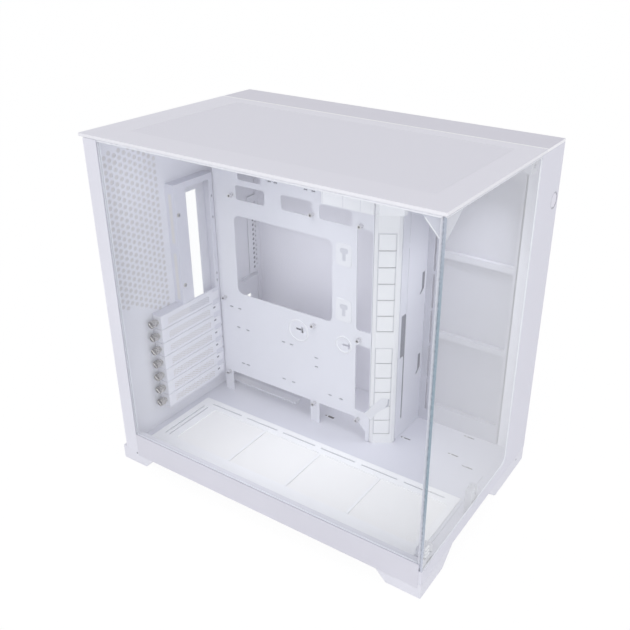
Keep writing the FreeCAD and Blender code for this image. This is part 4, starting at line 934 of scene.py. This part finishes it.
# Dark films and backings of painted shade, with strips of painted light in the bracket's fan slots, as one
# piece
def pockets():
    dark = Shape()
    tie_pockets(dark)
    hook_pockets(dark)
    floor_pockets(dark)
    bracket_pockets(dark)
    make_piece("pockets", dark, [SHADOW, SLOT_LIGHT, DEEP_SHADE])


# The tiled column's slanting face: distance along it, depth into it, and height
COLUMN_START = Vector((40.0, -48.0))
COLUMN_ALONG = Vector((0.552, -0.834))
COLUMN_INWARD = Vector((0.834, 0.552))


def column_point(along, depth, height):
    spot = COLUMN_START + along * COLUMN_ALONG + depth * COLUMN_INWARD
    return (spot.x, spot.y, height)


def column_block(shape, along, depth, heights, look=0):
    corners = rectangle(along, depth)
    shape.rings([[column_point(u, w, level) for u, w in corners] for level in heights], look)


# Painted shade on the beds seen in the gaps between the column's tiles, darkest in each gap
def tile_beds():
    tiles = 6
    tile_pitch = 22.3
    first_gap = 1.2
    gap = 1.1
    beds = Shape()
    for low, high in ((196.9, 331.6), (38.4, 173.1)):
        column_block(beds, (4.4, 27.1), (-2.12, -2.0), (low, high))
        for i in range(tiles):
            edge = low + first_gap + i * tile_pitch
            column_block(beds, (5.6, 26.8), (-2.25, -2.1), (edge - gap, edge), 1)
    make_piece("tile_beds", beds, [TILE_BED, TILE_GAP_SHADE])


# Curved brace that reaches from the tray's edge across the column, with a dark plate of painted shade at its
# tip
def bar_brace():
    outline = [(-7.7, 71.6), (1.6, 61.3), (5.2, 67.8), (9.1, 72.9), (13.0, 76.2), (16.8, 78.6), (23.7, 82.0),
               (25.6, 96.2), (15.8, 97.0), (11.8, 94.0), (8.0, 89.8), (-0.1, 80.3)]
    shaded_tip = [(19.8, 82.2), (24.6, 84.0), (25.3, 95.0), (23.6, 95.0), (22.8, 87.0)]
    brace = Shape()
    for points, depths, look in ((outline, (-2.0, -3.6), 0), (shaded_tip, (-3.6, -3.75), 1)):
        brace.rings([[column_point(u, depth, height) for u, height in points] for depth in depths], look)
    make_piece("bar_brace", brace, [BRACE_WHITE, POST_SHADE])


# Painted highlight: a bright line under the top strip's edge
def lid_edge_highlight():
    x, y, z = limits("top_strip")
    out = 0.35
    depth = 0.8
    end = 0.3
    low = z[0] + 1.0
    high = z[1] - 0.02
    line = Shape()
    line.block((x[0] - out, y[0] + end, low), (x[0] + depth, y[1] - end, high))
    make_piece("lid_edge_highlight", line, [MATERIALS["bright_plastic"]])


# Filler between the side skirt and the front pane, and the cap on the skirt's open end
def corner_seam():
    x, y, z = limits("side_skirt")
    filler_z = (21.0, z[1] - 9.0)
    cap_z = (z[1] - 11.0, z[1] - 0.2)
    corner = Shape()
    corner.block((x[0] + 0.15, y[0] - 0.4, filler_z[0]), (x[0] + 2.0, y[0], filler_z[1]))
    corner.block((x[0] + 0.3, y[0] + 0.05, cap_z[0]), (x[1] - 0.2, y[0] + 1.0, cap_z[1]))
    make_piece("corner_seam", corner, [SKIRT_WHITE])


# Painted highlight: a bright rim along the sloping edge of the corner gusset
def gusset_edge_highlight():
    x, y, z = limits("corner_gusset")
    line = [(y[1] - 3.9, z[1] - 4.3), (y[0] + 0.4, z[0] + 0.5), (y[0] + 0.4, z[0] + 2.3),
            (y[1] - 4.9, z[1] - 3.5)]
    rim = Shape()
    rim.rings([[(level, u, v) for u, v in line] for level in (x[0] - 0.25, x[0] + 0.2)])
    make_piece("gusset_edge_highlight", rim, [MATERIALS["bright_plastic"]])


# Shade in the gap beside the fan bracket, its upper end, and the backing of the filter frame's slots
def seam_shades():
    shades = Shape()
    x, y, z = limits("fan_bracket")
    gap_y = (y[0] - 3.0, y[0] + 1.0)
    end_low = z[1] - 22.0
    shades.block((x[0] + 2.0, gap_y[0], z[0] + 1.0), (x[0] + 2.4, gap_y[1], z[1] - 1.0))
    shades.block((x[0], y[0] - 2.0, end_low), (x[0] + 1.0, y[0], z[1]), 1)
    x, y, z = limits("bottom_filter_frame")
    slot_wide = 4.6
    slot_y = (y[0] + 4.0, y[1] - 4.0)
    rear_x = (x[0] + 28.0, x[1] - 18.0)
    rear_y = (y[1] - 20.0, y[1] - 8.0)
    backing_top = z[0] + BACKING
    for low in (x[0] + 7.0, x[1] - 11.6):
        shades.block((low, slot_y[0], z[0]), (low + slot_wide, slot_y[1], backing_top), 2)
    shades.block((rear_x[0], rear_y[0], z[0]), (rear_x[1], rear_y[1], backing_top), 2)
    make_piece("seam_shades", shades, [POST_SHADE, MATERIALS["frame_paint"], SLOT_SHADE])


# Cross ribs of the bottom filter
def filter_ribs():
    top = limits("bottom_filter_frame")[2][1]
    rib_x = (-99.0, -19.0)
    fields = 4
    first = -194.0
    run = 373.0
    half_wide = 1.8
    ribs = Shape()
    for i in range(1, fields):
        middle = first + run * i / fields
        outline = rounded_rectangle(rib_x, (middle - half_wide, middle + half_wide), 0.6, 3)
        chamfered_plate(ribs, outline, "z", top - 0.6, top + 0.25, 0.2)
    make_piece("filter_ribs", ribs, [MATERIALS["bright_plastic"]])


# Fine upright lines on the tray's ledge
def ledge_seams():
    x, y, z = limits("tray_ledge")
    rise = 0.12
    wide = 0.5
    end = 1.0
    lines = Shape()
    for place in (y[0] + 18.0, y[0] + 43.0, y[1] - 2.0):
        lines.block((x[0] - rise, place, z[0] + end), (x[0], place + wide, z[1] - end))
    make_piece("ledge_seams", lines, [TILE_BED])


# Line of shade round the power button
def button_ring():
    x, y, z = limits("power_button")
    middle = ((x[0] + x[1]) / 2, (z[0] + z[1]) / 2)
    corner_turn = 22.5
    reach = (x[1] - x[0]) / 2 / math.cos(math.radians(corner_turn))
    inner = reach + 0.1
    outer = reach + 0.75
    front = y[0] + 0.2
    back = y[0] + 1.3
    levels = []
    for size, level in ((inner, front), (outer, front), (outer, back), (inner, back)):
        corners = arc(middle, size, corner_turn, 360 - corner_turn, 7)
        levels.append([(u, level, v) for u, v in corners])
    ring = Shape()
    ring.rings(levels + [levels[0]], caps=(False, False))
    make_piece("button_ring", ring, [DEEP_SHADE])


# Ribs of the catch behind the front pane's lower corner
def catch_ribs():
    rib_y = -224.2
    profile = ((-139.5, 0.6), (-138.9, 1.1), (-131.1, 1.1), (-130.5, 0.6))
    ribs = Shape()
    for height in (52.5, 57.5, 62.5):
        skin = []
        for place, size in profile:
            skin.append([(place, u, v) for u, v in circle((rib_y, height), size, 12)])
        ribs.rings(skin)
    make_piece("catch_ribs", ribs, [MATERIALS["bright_plastic"]], smooth=True)


# Width of the softened edges on the covers and mouldings
SOFT_NODES = {
    "top_panel": 0.7, "top_strip": 0.7, "front_bezel": 0.5, "foot_front_left": 1.6,
    "foot_front_right": 1.6, "foot_rear_left": 1.6, "foot_rear_right": 1.6, "side_skirt": 0.35,
    "cable_bar": 0.5, "cable_bar_head": 0.8, "tray_ledge": 0.6, "cable_bar_tiles": 0.4,
    "bottom_filter_frame": 0.3, "clip_sockets": 0.3, "power_button": 0.35, "right_side_panel": 0.3,
    "step_panel": 0.25, "corner_gusset": 0.25,
}

# Nodes whose paint differs from the usual one of their slot
SPECIAL = {
    "fan_filter": FAN_CLOTH, "standoffs": PALE_ZINC, "corner_gusset": INNER_WHITE, "base_pan": DECK_WHITE,
    "side_skirt": SKIRT_WHITE, "front_bezel": BEZEL_WHITE, "top_panel": LID_WHITE, "top_strip": STRIP_WHITE,
    "foot_front_left": FOOT_WHITE, "foot_front_right": FOOT_WHITE, "foot_rear_left": FOOT_WHITE,
    "foot_rear_right": FOOT_WHITE, "clip_sockets": CLIP_WHITE, "clip_studs": CLIP_WHITE,
    "cable_bar": BAR_WHITE, "fan_bracket": RAIL_WHITE, "io_slot_bracket": BRACKET_WHITE,
}


def dress_nodes():
    weld_within = 0.00001
    for part in frame["record"]["subparts"]:
        name = part["node"]
        thing = nodes[name]
        thing.data.materials.clear()
        thing.data.materials.append(SPECIAL.get(name, MATERIALS[part["material_slot"]]))
        if name in SOFT_NODES:
            weld = thing.modifiers.new("weld", "WELD")
            weld.merge_threshold = weld_within
            soften(thing, SOFT_NODES[name])


make_camera()
make_world()
make_floor()
make_lamps()
dress_nodes()
glass_panes()
rear_wall()
chamber_plate()
for number in range(1, SLOTS + 1):
    slot_cover(number)
thumbscrews()
tray_fields()
tray_rings()
bracket_screws()
pockets()
tile_beds()
bar_brace()
lid_edge_highlight()
corner_seam()
gusset_edge_highlight()
seam_shades()
filter_ribs()
ledge_seams()
button_ring()
catch_ribs()

scene.view_settings.view_transform = "Standard"
